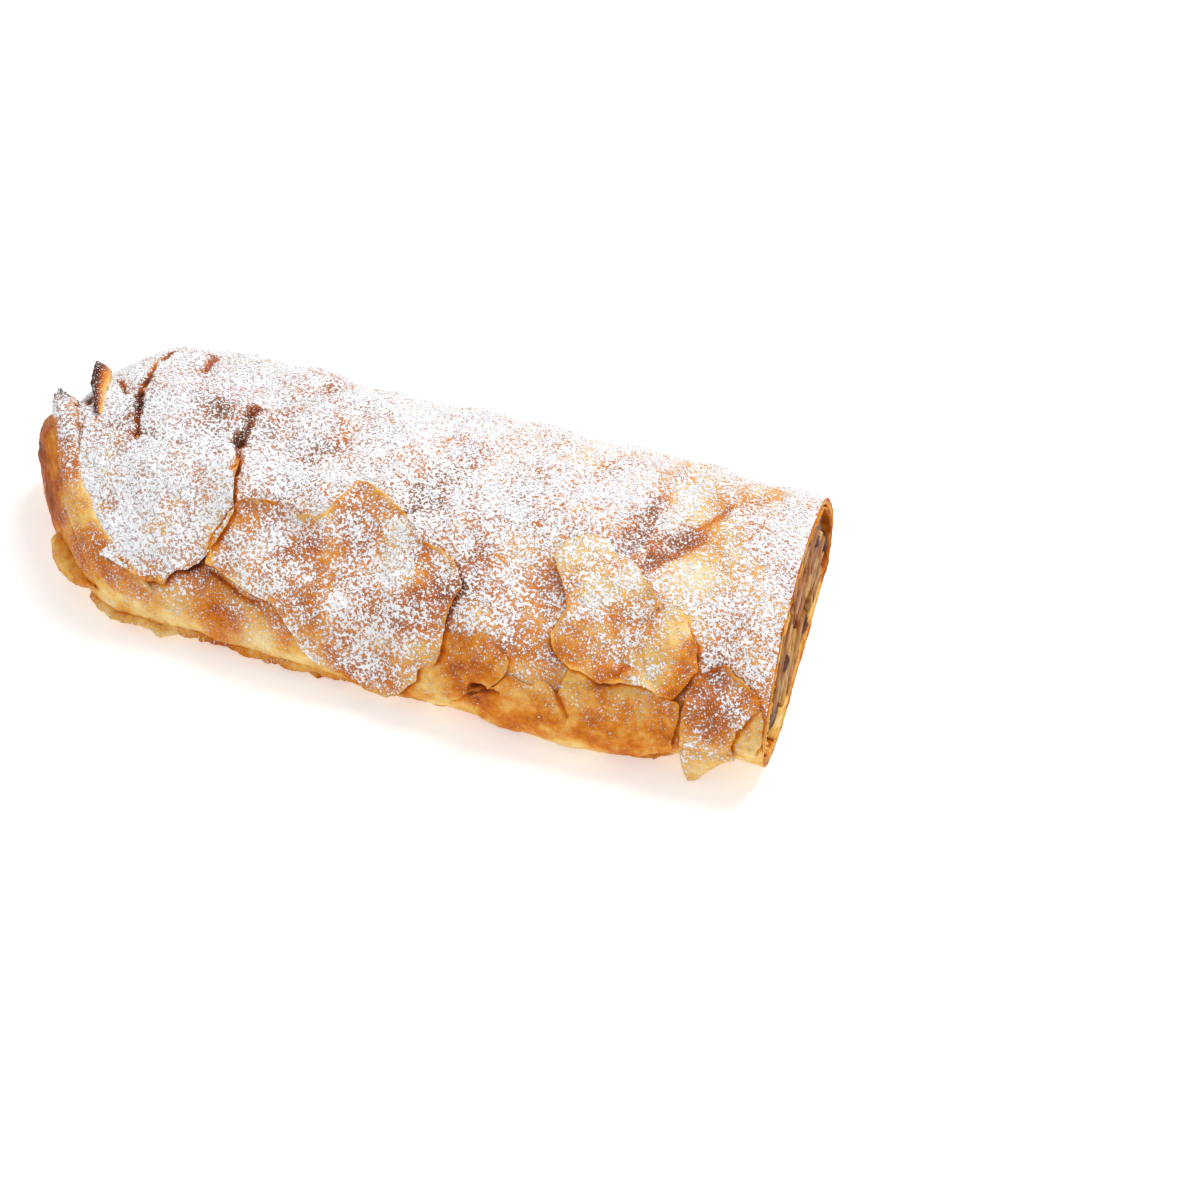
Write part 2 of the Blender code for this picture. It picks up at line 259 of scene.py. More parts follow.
def finishAt(x, s):  # (dusting, browning) from the bands round the roll, the spots and the painted shade of the creases on it
    bands = np.array(finish["bands"], float)
    dusting = np.interp(s * 1000.0, bands[:, 0], bands[:, 1])
    browning = np.interp(s * 1000.0, bands[:, 0], bands[:, 2])
    for *spot, dust, brown in finish["spots"]:
        share = spotShare(x, s, *spot)
        dusting = dusting + dust * share
        browning = browning + brown * share
    dusting, browning = addCreaseShade(x, s, dusting, browning)
    patches = fractalNoise(x + 0.6 * s, 0.5 * (s - 0.6 * x), 0.014, 3, 61)
    return np.clip(dusting + 0.08 * patches, -0.4, 1.0), np.clip(browning - 0.07 * patches, 0.0, 1.0)


def gridFaces(rows, columns, closed):  # quads of a grid of points; closed joins the last column to the first
    index = np.arange(rows * columns).reshape(rows, columns)
    if closed:
        index = np.concatenate([index, index[:, :1]], axis=1)
    corners = [index[:-1, :-1], index[:-1, 1:], index[1:, 1:], index[1:, :-1]]
    return np.stack(corners, axis=-1).reshape(-1, 4)


def poleFans(rows, columns, flip=False):
    # triangles that close a tube's two ends, with the two points that follow its rings in the list
    first = np.arange(columns)
    following = np.roll(first, -1)
    last = (rows - 1) * columns
    pole = np.full(columns, rows * columns)
    fans = np.concatenate([
        np.stack([pole, following, first], axis=-1),
        np.stack([pole + 1, last + first, last + following], axis=-1),
    ])
    return fans[:, [0, 2, 1]] if flip else fans


def withPoles(rings):  # the points of a tube's rings, then the middle of its first ring and of its last
    return np.concatenate([rings.reshape(-1, 3), rings[[0, -1]].mean(axis=1)])


def makeMesh(name, points, quads, triangles=None, attributes=None):  # one value of an attribute a point
    mesh = bpy.data.meshes.new(name)
    triangles = np.zeros((0, 3), int) if triangles is None else triangles
    loops = np.concatenate([quads.ravel(), triangles.ravel()]).astype(np.int32)
    sizes = np.concatenate([np.full(len(quads), 4), np.full(len(triangles), 3)])
    mesh.vertices.add(len(points))
    mesh.vertices.foreach_set("co", np.asarray(points, np.float32).ravel())
    mesh.loops.add(len(loops))
    mesh.loops.foreach_set("vertex_index", loops)
    mesh.polygons.add(len(sizes))
    starts = np.concatenate([[0], np.cumsum(sizes)[:-1]]).astype(np.int32)
    mesh.polygons.foreach_set("loop_start", starts)
    mesh.update(calc_edges=True)
    mesh.shade_smooth()
    for key, values in (attributes or {}).items():
        layer = mesh.attributes.new(key, "FLOAT", "POINT")
        layer.data.foreach_set("value", np.asarray(values, np.float32).ravel())
    mesh.validate()
    return mesh


def addPiece(name, mesh, look, stands=None):  # stands names the solid that the piece stands in for
    mesh.materials.append(look)
    piece = bpy.data.objects.new(name, mesh)
    bpy.context.scene.collection.objects.link(piece)
    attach(piece, "root")
    if stands:
        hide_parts(stands)
    return piece


def tubesMesh(name, tubes, attributes=None):  # many tubes of the same rows and columns, closed at both ends
    rows, columns = tubes[0].shape[:2]
    starts = (rows * columns + 2) * np.arange(len(tubes))[:, None, None]
    quads = (gridFaces(rows, columns, True) + starts).reshape(-1, 4)
    fans = (poleFans(rows, columns) + starts).reshape(-1, 3)
    return makeMesh(name, np.concatenate([withPoles(tube) for tube in tubes]), quads, fans, attributes)


def slabMesh(name, top, bottom, attributes):
    # two grids of the same size with a strip of quads round their common border
    rows, columns = top.shape[:2]
    count = rows * columns
    index = np.arange(count).reshape(rows, columns)
    border = np.concatenate([index[0, :-1], index[:-1, -1], index[-1, :0:-1], index[:0:-1, 0]])
    ahead = np.roll(border, -1)
    upper = gridFaces(rows, columns, False)
    sides = np.stack([border, border + count, ahead + count, ahead], axis=-1)
    quads = np.concatenate([upper, upper[:, ::-1] + count, sides])
    points = np.concatenate([top.reshape(-1, 3), bottom.reshape(-1, 3)])
    return makeMesh(name, points, quads, None, attributes)


def gridNormals(points):  # the cross product of the steps along the rows and the columns
    along = np.gradient(points, axis=0)
    across = np.gradient(points, axis=1)
    return unit(np.cross(along, across))


class Value:  # one number socket of a material, so that shader maths reads as arithmetic
    def __init__(self, look, socket):
        self.look, self.socket = look, socket

    def math(self, operation, *others, clamp=False):
        node = self.look.tree.nodes.new("ShaderNodeMath")
        node.operation, node.use_clamp = operation, clamp
        for place, term in enumerate((self, *others)):
            if isinstance(term, Value):
                self.look.tree.links.new(term.socket, node.inputs[place])
            else:
                node.inputs[place].default_value = term
        return Value(self.look, node.outputs[0])

    def __add__(self, other):
        return self.math("ADD", other)

    def __mul__(self, other):
        return self.math("MULTIPLY", other)

    def __sub__(self, other):
        return self.math("SUBTRACT", other)

    def __rsub__(self, other):
        return (self * -1.0).math("ADD", other)

    __radd__ = __add__
    __rmul__ = __mul__

    def clamped(self):
        return self.math("ADD", 0.0, clamp=True)


class Look:  # a material and the few kinds of node that the ones here are made of
    def __init__(self, name):
        self.material = bpy.data.materials.new(name)
        self.material.use_nodes = True
        self.tree = self.material.node_tree
        self.shader = self.tree.nodes["Principled BSDF"]

    def node(self, kind, settings, inputs):
        made = self.tree.nodes.new(kind)
        for key, value in settings.items():
            setattr(made, key, value)
        for key, value in inputs.items():
            self.feed(made.inputs[key], value)
        return made

    def feed(self, socket, value):
        if isinstance(value, Value):
            self.tree.links.new(value.socket, socket)
        elif isinstance(value, bpy.types.NodeSocket):
            self.tree.links.new(value, socket)
        else:
            socket.default_value = value

    def place(self):
        return self.node("ShaderNodeTexCoord", {}, {}).outputs["Object"]

    def along(self, place):  # the distance along the roll
        return Value(self, self.node("ShaderNodeSeparateXYZ", {}, {"Vector": place}).outputs["X"])

    def attribute(self, name):
        return Value(self, self.node("ShaderNodeAttribute", {"attribute_name": name}, {}).outputs["Fac"])

    def noise(self, place, scale, detail=2.0, roughness=0.55):
        values = {"Vector": place, "Scale": scale, "Detail": detail, "Roughness": roughness}
        return Value(self, self.node("ShaderNodeTexNoise", {}, values).outputs["Fac"])

    def mix(self, share, first, second):  # inputs 0, 6 and 7 of the Mix node are its factor and two colours
        made = self.node("ShaderNodeMix", {"data_type": "RGBA"}, {0: share, 6: first, 7: second})
        return made.outputs[2]

    def blend(self, value, stops):  # a colour that passes through the stops (value, colour) in turn
        colour = stops[0][1]
        for (low, _), (high, following) in zip(stops, stops[1:]):
            share = ((value - low) * (1.0 / (high - low))).clamped()
            colour = self.mix(share, colour, following)
        return colour

    def bump(self, height, distance, strength=1.0):
        inputs = {"Height": height, "Distance": distance, "Strength": strength}
        return self.node("ShaderNodeBump", {}, inputs).outputs["Normal"]

    def finish(self, **inputs):
        for key, value in inputs.items():
            self.feed(self.shader.inputs[key.replace("_", " ")], value)
        return self.material


def shade(red, green, blue):  # a display colour out of 255 as a linear one
    share = np.array([red, green, blue]) / 255.0
    linear = np.where(share <= 0.04045, share / 12.92, ((share + 0.055) / 1.055) ** 2.4)
    return (*linear.tolist(), 1.0)


crustLook = {
    "stops": (
        (0.00, shade(247, 218, 146)), (0.20, shade(236, 182, 90)), (0.40, shade(216, 126, 22)),
        (0.58, shade(182, 88, 14)), (0.78, shade(126, 56, 12)), (1.00, shade(72, 28, 10)),
    ),
    "sugar": shade(247, 248, 251),
    "wideNoise": 50.0, "wideBrowning": 1.1,  # browner and paler patches: how many a metre, how strong
    "middleNoise": 130.0, "middleBrowning": 0.48,
    "fineNoise": 520.0, "fineBrowning": 0.28,
    "clumpScale": 900.0,  # noise of the sugar's clumps, for clumps of about 0.7 mm
    "clumpEdge": 17.0,
    "speckScale": 1600.0,  # the same for the finer specks where there is little sugar
    "speckBelow": 0.15, "clumpRise": 2.6,  # below this cover only specks, above it more and more clumps
    "coverSpread": 0.30,
    "coverPatches": 0.90,
    "haze": shade(250, 230, 190),  # a film of sugar that lets the dough show through
    "paintedShadeHaze": shade(190, 182, 186),  # painted shade: the sugar haze turns grey where it lies thick towards the tucked end
    "hazeFrom": 0.15, "hazeRise": 0.30,
    "paintedShadeFrom": 0.42, "paintedShadeRise": 3.0, "paintedShadeMost": 0.75,
    "paintedShadeAlongFrom": 0.01, "paintedShadeAlongRise": -14.0,  # where along the roll that painted shade starts and how fast it grows
    "bareRoughness": 0.55,
    "sugarRoughness": 0.95,
    "reliefSugar": 0.55, "reliefMiddle": 0.8, "reliefFine": 0.35, "reliefHeight": 0.0006,
    "reliefStrength": 0.8,
}


def crustMaterial():  # browning picks the dough's colour, dusting the share of noise that turns to sugar
    look, values = Look("baked_dough"), crustLook
    place = look.place()
    wide = look.noise(place, values["wideNoise"], 2.0)
    middle = look.noise(place, values["middleNoise"], 4.0, 0.6)
    fine = look.noise(place, values["fineNoise"], 3.0, 0.6)
    # the browning and dusting attributes also carry painted shadow under the leaves' edges and painted shade
    # in the creases
    browning = look.attribute("browning") + (wide - 0.5) * values["wideBrowning"]
    browning = browning + (middle - 0.5) * values["middleBrowning"] + (fine - 0.5) * values["fineBrowning"]
    bare = look.blend(browning, values["stops"])
    cover = look.attribute("dusting") + (middle - 0.5) * values["coverPatches"]
    clumps = look.noise(place, values["clumpScale"], 2.0, 0.65)
    specks = look.noise(place, values["speckScale"], 2.0, 0.6)
    clumps = specks + (clumps - specks) * ((cover - values["speckBelow"]) * values["clumpRise"]).clamped()
    level = clumps - 0.5 + (cover - 0.5) * values["coverSpread"]
    sugar = (level * values["clumpEdge"] + 0.5).clamped()
    haze = ((cover - values["hazeFrom"]) * values["hazeRise"]).clamped()
    # painted shade: towards the tucked end, where the sugar lies thick, the gaps turn grey
    shadeAlongRoll = ((look.along(place) + values["paintedShadeAlongFrom"]) * values["paintedShadeAlongRise"]).clamped()
    thick = ((cover - values["paintedShadeFrom"]) * values["paintedShadeRise"]).clamped() * shadeAlongRoll * values["paintedShadeMost"]
    gaps = look.mix(thick, look.mix(haze, bare, values["haze"]), values["paintedShadeHaze"])
    colour = look.mix(sugar * 0.97, gaps, values["sugar"])
    roughness = sugar * (values["sugarRoughness"] - values["bareRoughness"]) + values["bareRoughness"]
    relief = sugar * values["reliefSugar"] + middle * values["reliefMiddle"] + fine * values["reliefFine"]
    return look.finish(
        Base_Color=colour, Roughness=roughness + (middle - 0.5) * 0.2,
        Normal=look.bump(relief, values["reliefHeight"], values["reliefStrength"]), Specular_IOR_Level=0.12,
    )


crustSurface = crustMaterial()
print("crust material made")

# torn leaves of dough that lie on the roll
# outlines and centres are x and s in mm; lift and thickness in metres; dust and brown at the top and foot.
# The list runs from the lowest leaf to the highest.

leaves = {
    "leaf_back_left": {
        "centre": (-82, 90), "lift": 0.0006, "thick": 0.0005, "curl": 0.0012, "dust": (0.16, 0.62),
        "brown": (0.36, 0.50), "rim": -0.08,
        "outline": ((-112, 82), (-98, 77), (-90, 79), (-74, 75), (-58, 78), (-50, 86), (-54, 97),
            (-66, 99), (-70, 102), (-88, 103), (-96, 101), (-108, 99)),
    },
    "leaf_back_middle": {
        "centre": (6, 93), "lift": 0.0006, "thick": 0.0005, "curl": 0.0014, "dust": (0.14, 0.60),
        "brown": (0.34, 0.46), "rim": -0.08,
        "outline": ((-34, 88), (-22, 80), (-6, 82), (4, 77), (20, 79), (36, 76), (44, 84), (40, 96),
            (30, 98), (24, 103), (4, 104), (-10, 101), (-28, 103), (-38, 98)),
    },
    "leaf_back_right": {
        "centre": (104, 90), "lift": 0.0006, "thick": 0.0005, "curl": 0.0012, "dust": (0.18, 0.60),
        "brown": (0.30, 0.42), "rim": -0.08,
        "outline": ((72, 84), (84, 78), (98, 80), (112, 75), (126, 79), (134, 90), (128, 99), (116, 101),
            (104, 103), (86, 101), (76, 97)),
    },
    "leaf_foot_right": {
        "centre": (88, -68), "lift": 0.0004, "thick": 0.0005, "curl": 0.0008, "dust": (0.10, -0.10),
        "brown": (0.52, 0.26), "rim": 0.0,
        "outline": ((50, -68), (59, -60), (63, -55), (66, -57), (70, -58), (73, -55), (77, -56),
            (80, -59.5), (83, -48), (90, -45), (105, -46), (112, -50), (116, -51), (121, -54), (121, -62),
            (119, -76), (105, -81), (90, -82), (70, -81), (56, -80)),
    },
    "leaf_brown_patch": {
        "centre": (42, -60), "lift": 0.0004, "thick": 0.00045, "curl": 0.0006, "dust": (0.18, -0.02),
        "brown": (0.48, 0.34), "rim": -0.05,
        "outline": ((30, -50), (39, -47), (46, -46), (51, -44), (54, -46), (60, -49), (62, -50), (62, -54),
            (61, -57), (57, -62), (50, -67), (44, -72), (30, -76), (18, -74), (20, -60)),
    },
    "leaf_cut_corner": {
        "centre": (142, -64), "lift": 0.0004, "thick": 0.0004, "curl": 0.0008, "dust": (0.30, 0.22),
        "brown": (0.22, 0.12), "rim": -0.05,
        "outline": ((134, -50), (146, -49), (148.4, -56), (148.6, -66), (147.5, -74), (140, -78),
            (134, -76), (131, -62)),
    },
    "leaf_corner": {
        "centre": (131, -58), "lift": 0.0007, "thick": 0.0005, "curl": 0.0011, "dust": (0.46, 0.26),
        "brown": (0.38, 0.36), "rim": -0.02,
        "outline": ((122, -50), (129, -41), (134, -40), (138, -43), (143, -46), (146, -48), (147, -53),
            (141, -61), (139, -69), (140, -77), (133, -76), (122.5, -73)),
    },
    "leaf_middle": {
        "centre": (-3, -45), "lift": 0.0008, "thick": 0.0005, "curl": 0.0019, "dust": (0.50, 0.44),
        "brown": (0.52, 0.42), "rim": -0.12,
        "outline": ((-47, -23), (-40, -21), (-34, -20), (-25, -22), (-16, -21), (-12, -13), (-10, -6),
            (-2, -6), (5, -10), (12, -13), (19, -21), (32, -23), (36, -26), (40, -31), (38, -37),
            (38, -48), (39, -55), (37, -59), (32, -62), (32, -67), (25, -74), (19, -80), (16, -77),
            (3, -74), (-9, -72), (-17, -60), (-24, -54), (-32, -53), (-40, -51), (-52, -49), (-52, -35)),
    },
    "leaf_left_sleeve": {
        "centre": (-88, 4), "lift": 0.0005, "thick": 0.0005, "curl": 0.0013, "dust": (0.70, 0.64),
        "brown": (0.56, 0.36), "rim": -0.04, "calmAbove": -9,
        "outline": ((-61, 14), (-58, 4), (-53, -13), (-50, -21), (-47, -27), (-48, -34), (-51, -44),
            (-54, -50), (-62, -54), (-65, -59), (-74, -59), (-85, -57), (-92, -55), (-99, -51),
            (-105, -43), (-111, -30), (-117, -12), (-120, 8), (-120, 26), (-114, 50), (-96, 70), (-76, 72),
            (-66, 50)),
    },
    "leaf_right": {
        "centre": (94, -32), "lift": 0.0010, "thick": 0.0005, "curl": 0.0015, "dust": (0.58, 0.26),
        "brown": (0.18, 0.45), "rim": -0.06,
        "outline": ((66, -13), (69, -6), (76, -1.5), (81, -1.5), (84, -5), (93, -7), (98, -14), (108, -22),
            (105, -24.5), (110, -23), (115, -25), (122, -33), (124, -42), (121, -49), (119, -53),
            (111, -51), (106, -50), (93, -51), (84, -48), (75, -44), (73, -37), (76, -29), (70, -19)),
    },
}

leafMake = {  # what all the leaves share, in metres
    "step": 0.0007, "raggedness": 0.00060, "raggedCell": 0.0056, "ringSpacing": 0.00085, "crowding": 1.12,
    "curlReach": 0.0026, "paleReach": 0.004, "rimWidth": 0.0011, "rimBrown": 0.20,
    "lowestTop": 0.0010, "lowestFoot": 0.0004, "footRings": 12, "footBrown": 0.25,
}


def tearOutline(leaf):  # straight runs with softened corners, then small random steps to the side
    corners = np.array(leaf["outline"], float) * 0.001
    loop = np.vstack([corners, corners[:1]])
    lengths = lengthsAlong(loop)
    along = np.linspace(0.0, lengths[-1], int(lengths[-1] / leafMake["step"]), endpoint=False)
    line = np.stack([np.interp(along, lengths, loop[:, column]) for column in (0, 1)], axis=-1)
    line = (np.roll(line, 1, axis=0) + line + np.roll(line, -1, axis=0)) / 3.0
    seed = int(abs(leaf["centre"][0]) + 7)
    ease = np.minimum(1.0, np.minimum(along, lengths[-1] - along) / 0.004)
    cell = leafMake["raggedCell"]
    sides = [fractalNoise(along, 0.0 * along + side, cell, 4, seed) for side in (0.3, 0.7)]
    leaf["line"] = line + leafMake["raggedness"] * ease[:, None] * np.stack(sides, axis=-1)
    leaf["middle"] = np.array(leaf["centre"], float) * 0.001
    offsets = leaf["line"] - leaf["middle"]
    angle = np.arctan2(offsets[:, 1], offsets[:, 0])
    order = np.argsort(angle)
    leaf["angles"] = angle[order]
    leaf["radii"] = np.hypot(*offsets[order].T)


for leaf in leaves.values():
    tearOutline(leaf)


def insideLeaf(leaf, x, s):  # distance from the leaf's edge, measured along the line from its centre
    dx, ds = x - leaf["middle"][0], s - leaf["middle"][1]
    radius = np.interp(np.arctan2(ds, dx), leaf["angles"], leaf["radii"], period=2.0 * np.pi)
    return radius - np.hypot(dx, ds)


def shownShare(leaf, s):  # a leaf with calmAbove sinks into the skin above that s, and shows no edge there
    if "calmAbove" not in leaf:
        return np.ones(np.shape(s))
    return smoothStep((leaf["calmAbove"] + 5.0 - s * 1000.0) / 10.0)


def heightOver(x, s, below):  # how high the leaves in the list stand over the skin at a point
    total = np.zeros(np.broadcast(x, s).shape)
    for leaf in below:
        onLeaf = smoothStep(insideLeaf(leaf, x, s) / 0.003 + 0.5)
        total += (leaf["lift"] + leaf["thick"]) * onLeaf * shownShare(leaf, s)
    return total


dough = {"blisterSize": 0.0105, "blisterHeight": 0.00050, "crumpleSize": 0.0058, "crumpleHeight": 0.00026}


def wrinkles(x, s):  # the dough's own unevenness: soft blisters with a finer crumple on them
    blisters = fractalNoise(x + 0.35 * s, s - 0.35 * x, dough["blisterSize"], 2, 5)
    crumple = 1.0 - 2.0 * np.abs(fractalNoise(x - 0.5 * s, s + 0.5 * x, dough["crumpleSize"], 3, 23))
    height = dough["blisterHeight"] * blisters + dough["crumpleHeight"] * crumple
    for startX, startS, endX, endS, halfWidth, depth, *_ in finish["creases"]:
        height = height - 0.001 * depth * creaseShare(x, s, (startX, startS), (endX, endS), halfWidth)
    for *spot, depth in finish["dents"]:
        height = height - 0.001 * depth * spotShare(x, s, *spot)
    return height


grainBeds = []  # where loose sugar can lie: points, normals and dusting of each upper surface


def shadedBy(above, x, s):  # painted shadow: 1 along a line just outside the lower edges of the leaves that lie on top
    shaded = np.zeros(np.shape(x))
    for leaf in above:
        outside = -insideLeaf(leaf, x, s)
        dx, ds = x - leaf["middle"][0], s - leaf["middle"][1]
        # the painted shadow is strongest on the edges towards the front and the cut end
        facing = np.clip(0.45 + (0.35 * dx - 0.85 * ds) / (np.hypot(dx, ds) + 1e-6), 0.1, 1.0)
        line = np.exp(-((np.maximum(outside - 0.0003, 0.0) / 0.0009) ** 2))
        shaded = np.maximum(shaded, line * facing * shownShare(leaf, s))
    return shaded


def makeLeaf(name, leaf, below, above):  # rings from the middle out over the top, then back in underneath
    middle, line = leaf["middle"], leaf["line"]
    reach = np.hypot(*(line - middle).T)
    ringCount = max(8, int(reach.max() / leafMake["ringSpacing"]))
    shares = (1.0 - (1.0 - np.linspace(0.0, 1.0, ringCount + 1)[1:]) ** leafMake["crowding"])[:, None]
    x = middle[0] + shares * (line[:, 0] - middle[0])
    s = middle[1] + shares * (line[:, 1] - middle[1])
    fromEdge = (1.0 - shares) * reach
    base, normal = skinFrame(x, s)
    around = np.arange(len(line)) * leafMake["step"]
    seed = int(abs(leaf["centre"][1]) + 31)
    unrest = fractalNoise(around, 0.0 * around, 0.017, 3, seed)
    ease = np.minimum(1.0, np.minimum(around, around[-1] - around) / 0.006)
    curl = leaf["curl"] * np.clip(0.55 + 0.6 * unrest * ease, 0.04, 1.4)
    shown = shownShare(leaf, s)
    rise = leaf["lift"] + leaf["thick"] + curl * np.exp(-fromEdge / leafMake["curlReach"])
    rise = rise * shown - 0.0006 * (1.0 - shown)
    ripple = 0.00022 * fractalNoise(x, s, 0.0042, 2, seed + 3)
    height = heightOver(x, s, below) + rise + wrinkles(x, s) + ripple
    top = base + normal * height[..., None]
    top[..., 2] = np.maximum(top[..., 2], leafMake["lowestTop"])
    thick = leaf["thick"] * (0.35 + 0.65 * smoothStep(fromEdge / 0.0016))
    bottom = top - normal * thick[..., None]
    bottom[..., 2] = np.maximum(bottom[..., 2], leafMake["lowestFoot"])
    keep = np.unique(np.linspace(0, ringCount - 1, min(leafMake["footRings"], ringCount)).astype(int))
    highest, lowest = line[:, 1].max(), line[:, 1].min()
    down = smoothStep((highest - s) / (highest - lowest))
    strength = np.clip(0.45 + 0.8 * fractalNoise(around, 0.0 * around, 0.013, 3, seed + 5) * ease, 0.0, 1.0)
    rim = np.exp(-((fromEdge / leafMake["rimWidth"]) ** 2)) * shown * strength
    dusting = between(leaf["dust"], down)
    browning = between(leaf["brown"], down) + leaf["rim"] * np.exp(-fromEdge / leafMake["paleReach"])
    dusting, browning = addCreaseShade(x, s, dusting, browning)
    patches, shaded = fractalNoise(x, s, 0.012, 3, seed + 9), shadedBy(above, x, s)
    # painted shadow of the leaves above: less sugar and browner along their edges
    dusting = np.clip(dusting + 0.15 * patches - 0.5 * rim - 0.6 * shaded, -0.4, 1.0)
    browning = browning - 0.12 * patches + (leafMake["rimBrown"] - browning) * 0.75 * rim + 0.3 * shaded
    browning = np.clip(browning, 0.0, 1.0)
    under, foot = np.zeros(len(keep) * len(line)), leafMake["footBrown"]
    attributes = {
        "dusting": np.concatenate([dusting.ravel(), under, dusting[0, :1], [0.0]]),
        "browning": np.concatenate([browning.ravel(), under + foot, browning[0, :1], [foot]]),
    }
    mesh = tubesMesh(name, [np.concatenate([top, bottom[keep][::-1]])], attributes)
    addPiece(name, mesh, crustSurface)
    grainBeds.append((top, normal, dusting))


allLeaves = list(leaves.values())
for place, (name, leaf) in enumerate(leaves.items()):
    makeLeaf(name, leaf, allLeaves[:place], allLeaves[place + 1:])
print("leaves made:", len(leaves))

# the crust, in lengths so that each stays a light mesh

crust = {
    "spacing": 0.00082, "underSpacing": 0.0034, "closeFrom": (-0.088, 0.112), "sinkUnderLeaves": 0.0002,
    "joints": (-0.1465, -0.072, 0.004, 0.078, 0.1493), "wall": 0.0026, "endLength": 0.022, "endRings": 42,
    # depth behind the cut and inset from the outside at each ring of the rim, and its browning
    "rim": ((0.0, 0.0002), (0.0, 0.0006), (0.0, 0.0010), (0.0, 0.0014), (0.0, 0.0018), (0.0, 0.0022),
            (0.0002, 0.0025), (0.0006, 0.0028), (0.004, 0.0030), (0.016, 0.0030)),
    "rimBrown": (0.56, 0.50, 0.32, 0.48, 0.28, 0.46, 0.30, 0.50, 0.64, 0.76),
}


def roundStations():  # values of s: close on the top and the sides, wide apart underneath
    fine = np.arange(*crust["closeFrom"], crust["spacing"])
    front = np.arange(frontEdge + crust["underSpacing"], fine[0] - 0.001, crust["underSpacing"])
    back = np.arange(fine[-1] + 0.0015, backEdge - 0.001, crust["underSpacing"])
    return np.concatenate([front, fine, back])


def crustGrid(xs, ss):  # the skin plus its wrinkles along its normal, sunk a little under the leaves
    x, s = np.meshgrid(xs, ss, indexing="ij")
    base, normal = skinFrame(x, s)
    calm = smoothStep((base[..., 2] - 0.001) / 0.006) * smoothStep((x - roll["tuckedEnd"]) / 0.006)
    covered = np.zeros(x.shape)
    for leaf in allLeaves:
        under = smoothStep((insideLeaf(leaf, x, s) - 0.0012) / 0.002)
        covered = np.maximum(covered, under * shownShare(leaf, s))
    height = wrinkles(x, s) * calm - crust["sinkUnderLeaves"] * covered * calm
    dusting, browning = finishAt(x, s)
    # painted shadow of the leaves: less sugar and browner just outside their lower edges
    shaded = shadedBy(allLeaves, x, s)
    dusting = np.clip(dusting - 0.6 * shaded, -0.4, 1.0)
    browning = np.clip(browning + 0.25 * shaded, 0.0, 1.0)
    return base + normal * height[..., None], dusting, browning, covered


def makeRim(ss):  # rings over the cut's rim and back along the inside of the wall
    degrees = np.interp(ss, roundLength, roundDegrees)
    rings = []
    for number, (depth, inset) in enumerate(crust["rim"]):
        station = np.full(len(ss), roll["cutEnd"] - depth)
        ring = inPlace(station, *sectionAt(station, degrees, inset, min(inset, crust["wall"]))) + shift
        ripple = 0.00035 * fractalNoise(ss, 0.0 * ss + inset * 900.0, 0.004, 3, 77) - 0.0003 * (number % 2)
        ring[:, 0] += ripple * (depth < 0.001)
        rings.append(ring)
    return np.array(rings)


def makeCrust():  # rings round the roll, close together at the tucked end, cut into lengths at the joints
    ss = roundStations()
    turn = np.linspace(0.0, np.pi / 2.0, crust["endRings"] + 2)[1:-1]
    bodyStart = roll["tuckedEnd"] + crust["endLength"]
    ends = roll["tuckedEnd"] + crust["endLength"] * (1.0 - np.cos(turn))
    count = int((roll["cutEnd"] - roll["tuckedEnd"] - crust["endLength"]) / crust["spacing"])
    xs = np.concatenate([ends, np.linspace(bodyStart, roll["cutEnd"], count)])
    points, dusting, browning, covered = crustGrid(xs, ss)
    closed = np.concatenate([points[:, -1:], points, points[:, :1]], axis=1)
    normals = gridNormals(closed)[:, 1:-1]
    breaks = [int(np.argmin(np.abs(xs - joint))) for joint in crust["joints"]]
    columns = len(ss)
    for number, (first, last) in enumerate(zip(breaks, breaks[1:])):
        part = slice(first, last + 1)
        rings, dust, brown = points[part], dusting[part], browning[part]
        outerRows = len(rings)
        grainBeds.append((rings, normals[part], dust * (1.0 - covered[part])))
        if last == breaks[-1]:
            rim = makeRim(ss)
            rings = np.concatenate([rings, rim])
            brown = np.concatenate([brown, np.array(crust["rimBrown"])[:, None] + 0.0 * ss])
            dust = np.concatenate([dust, np.full((len(rim), columns), -0.8)])
        corners = withPoles(rings)
        if number == 0:
            corners[-2] = np.array([roll["tuckedEnd"], roll["ridgeY"], roll["endTipHeight"]]) + shift
        quads = gridFaces(len(rings), columns, True)[:, ::-1]
        fans = poleFans(len(rings), columns, flip=True)
        attributes = {
            "dusting": np.concatenate([dust.ravel(), [0.0, 0.0]]),
            "browning": np.concatenate([brown.ravel(), [0.5, 0.5]]),
        }
        name = "crust_" + str(number + 1)
        mesh = makeMesh(name, corners, quads, fans, attributes)
        smoothJoints(mesh, normals[part], outerRows, columns)
        addPiece(name, mesh, crustSurface, "crust")


def smoothJoints(mesh, outerNormals, outerRows, columns):
    # the outer faces take the whole roll's normals, so that no joint shows; caps and rim keep their own
    corners = np.zeros(len(mesh.loops) * 3, np.float32)
    mesh.corner_normals.foreach_get("vector", corners)
    corners = corners.reshape(-1, 3)
    vertex = np.zeros(len(mesh.loops), np.int32)
    mesh.loops.foreach_get("vertex_index", vertex)
    quads = (outerRows - 1) * columns * 4
    corners[:quads] = outerNormals.reshape(-1, 3)[vertex[:quads]]
    mesh.normals_split_custom_set(corners.tolist())


makeCrust()
print("crust made")

# strips of dough: folds, hems and lips that stand off the roll
# A strip starts along its root, points x and s in mm on the skin, and reaches the given offsets in mm;
# bow bends it on the way. Dust and brown are at the root and at the tip.

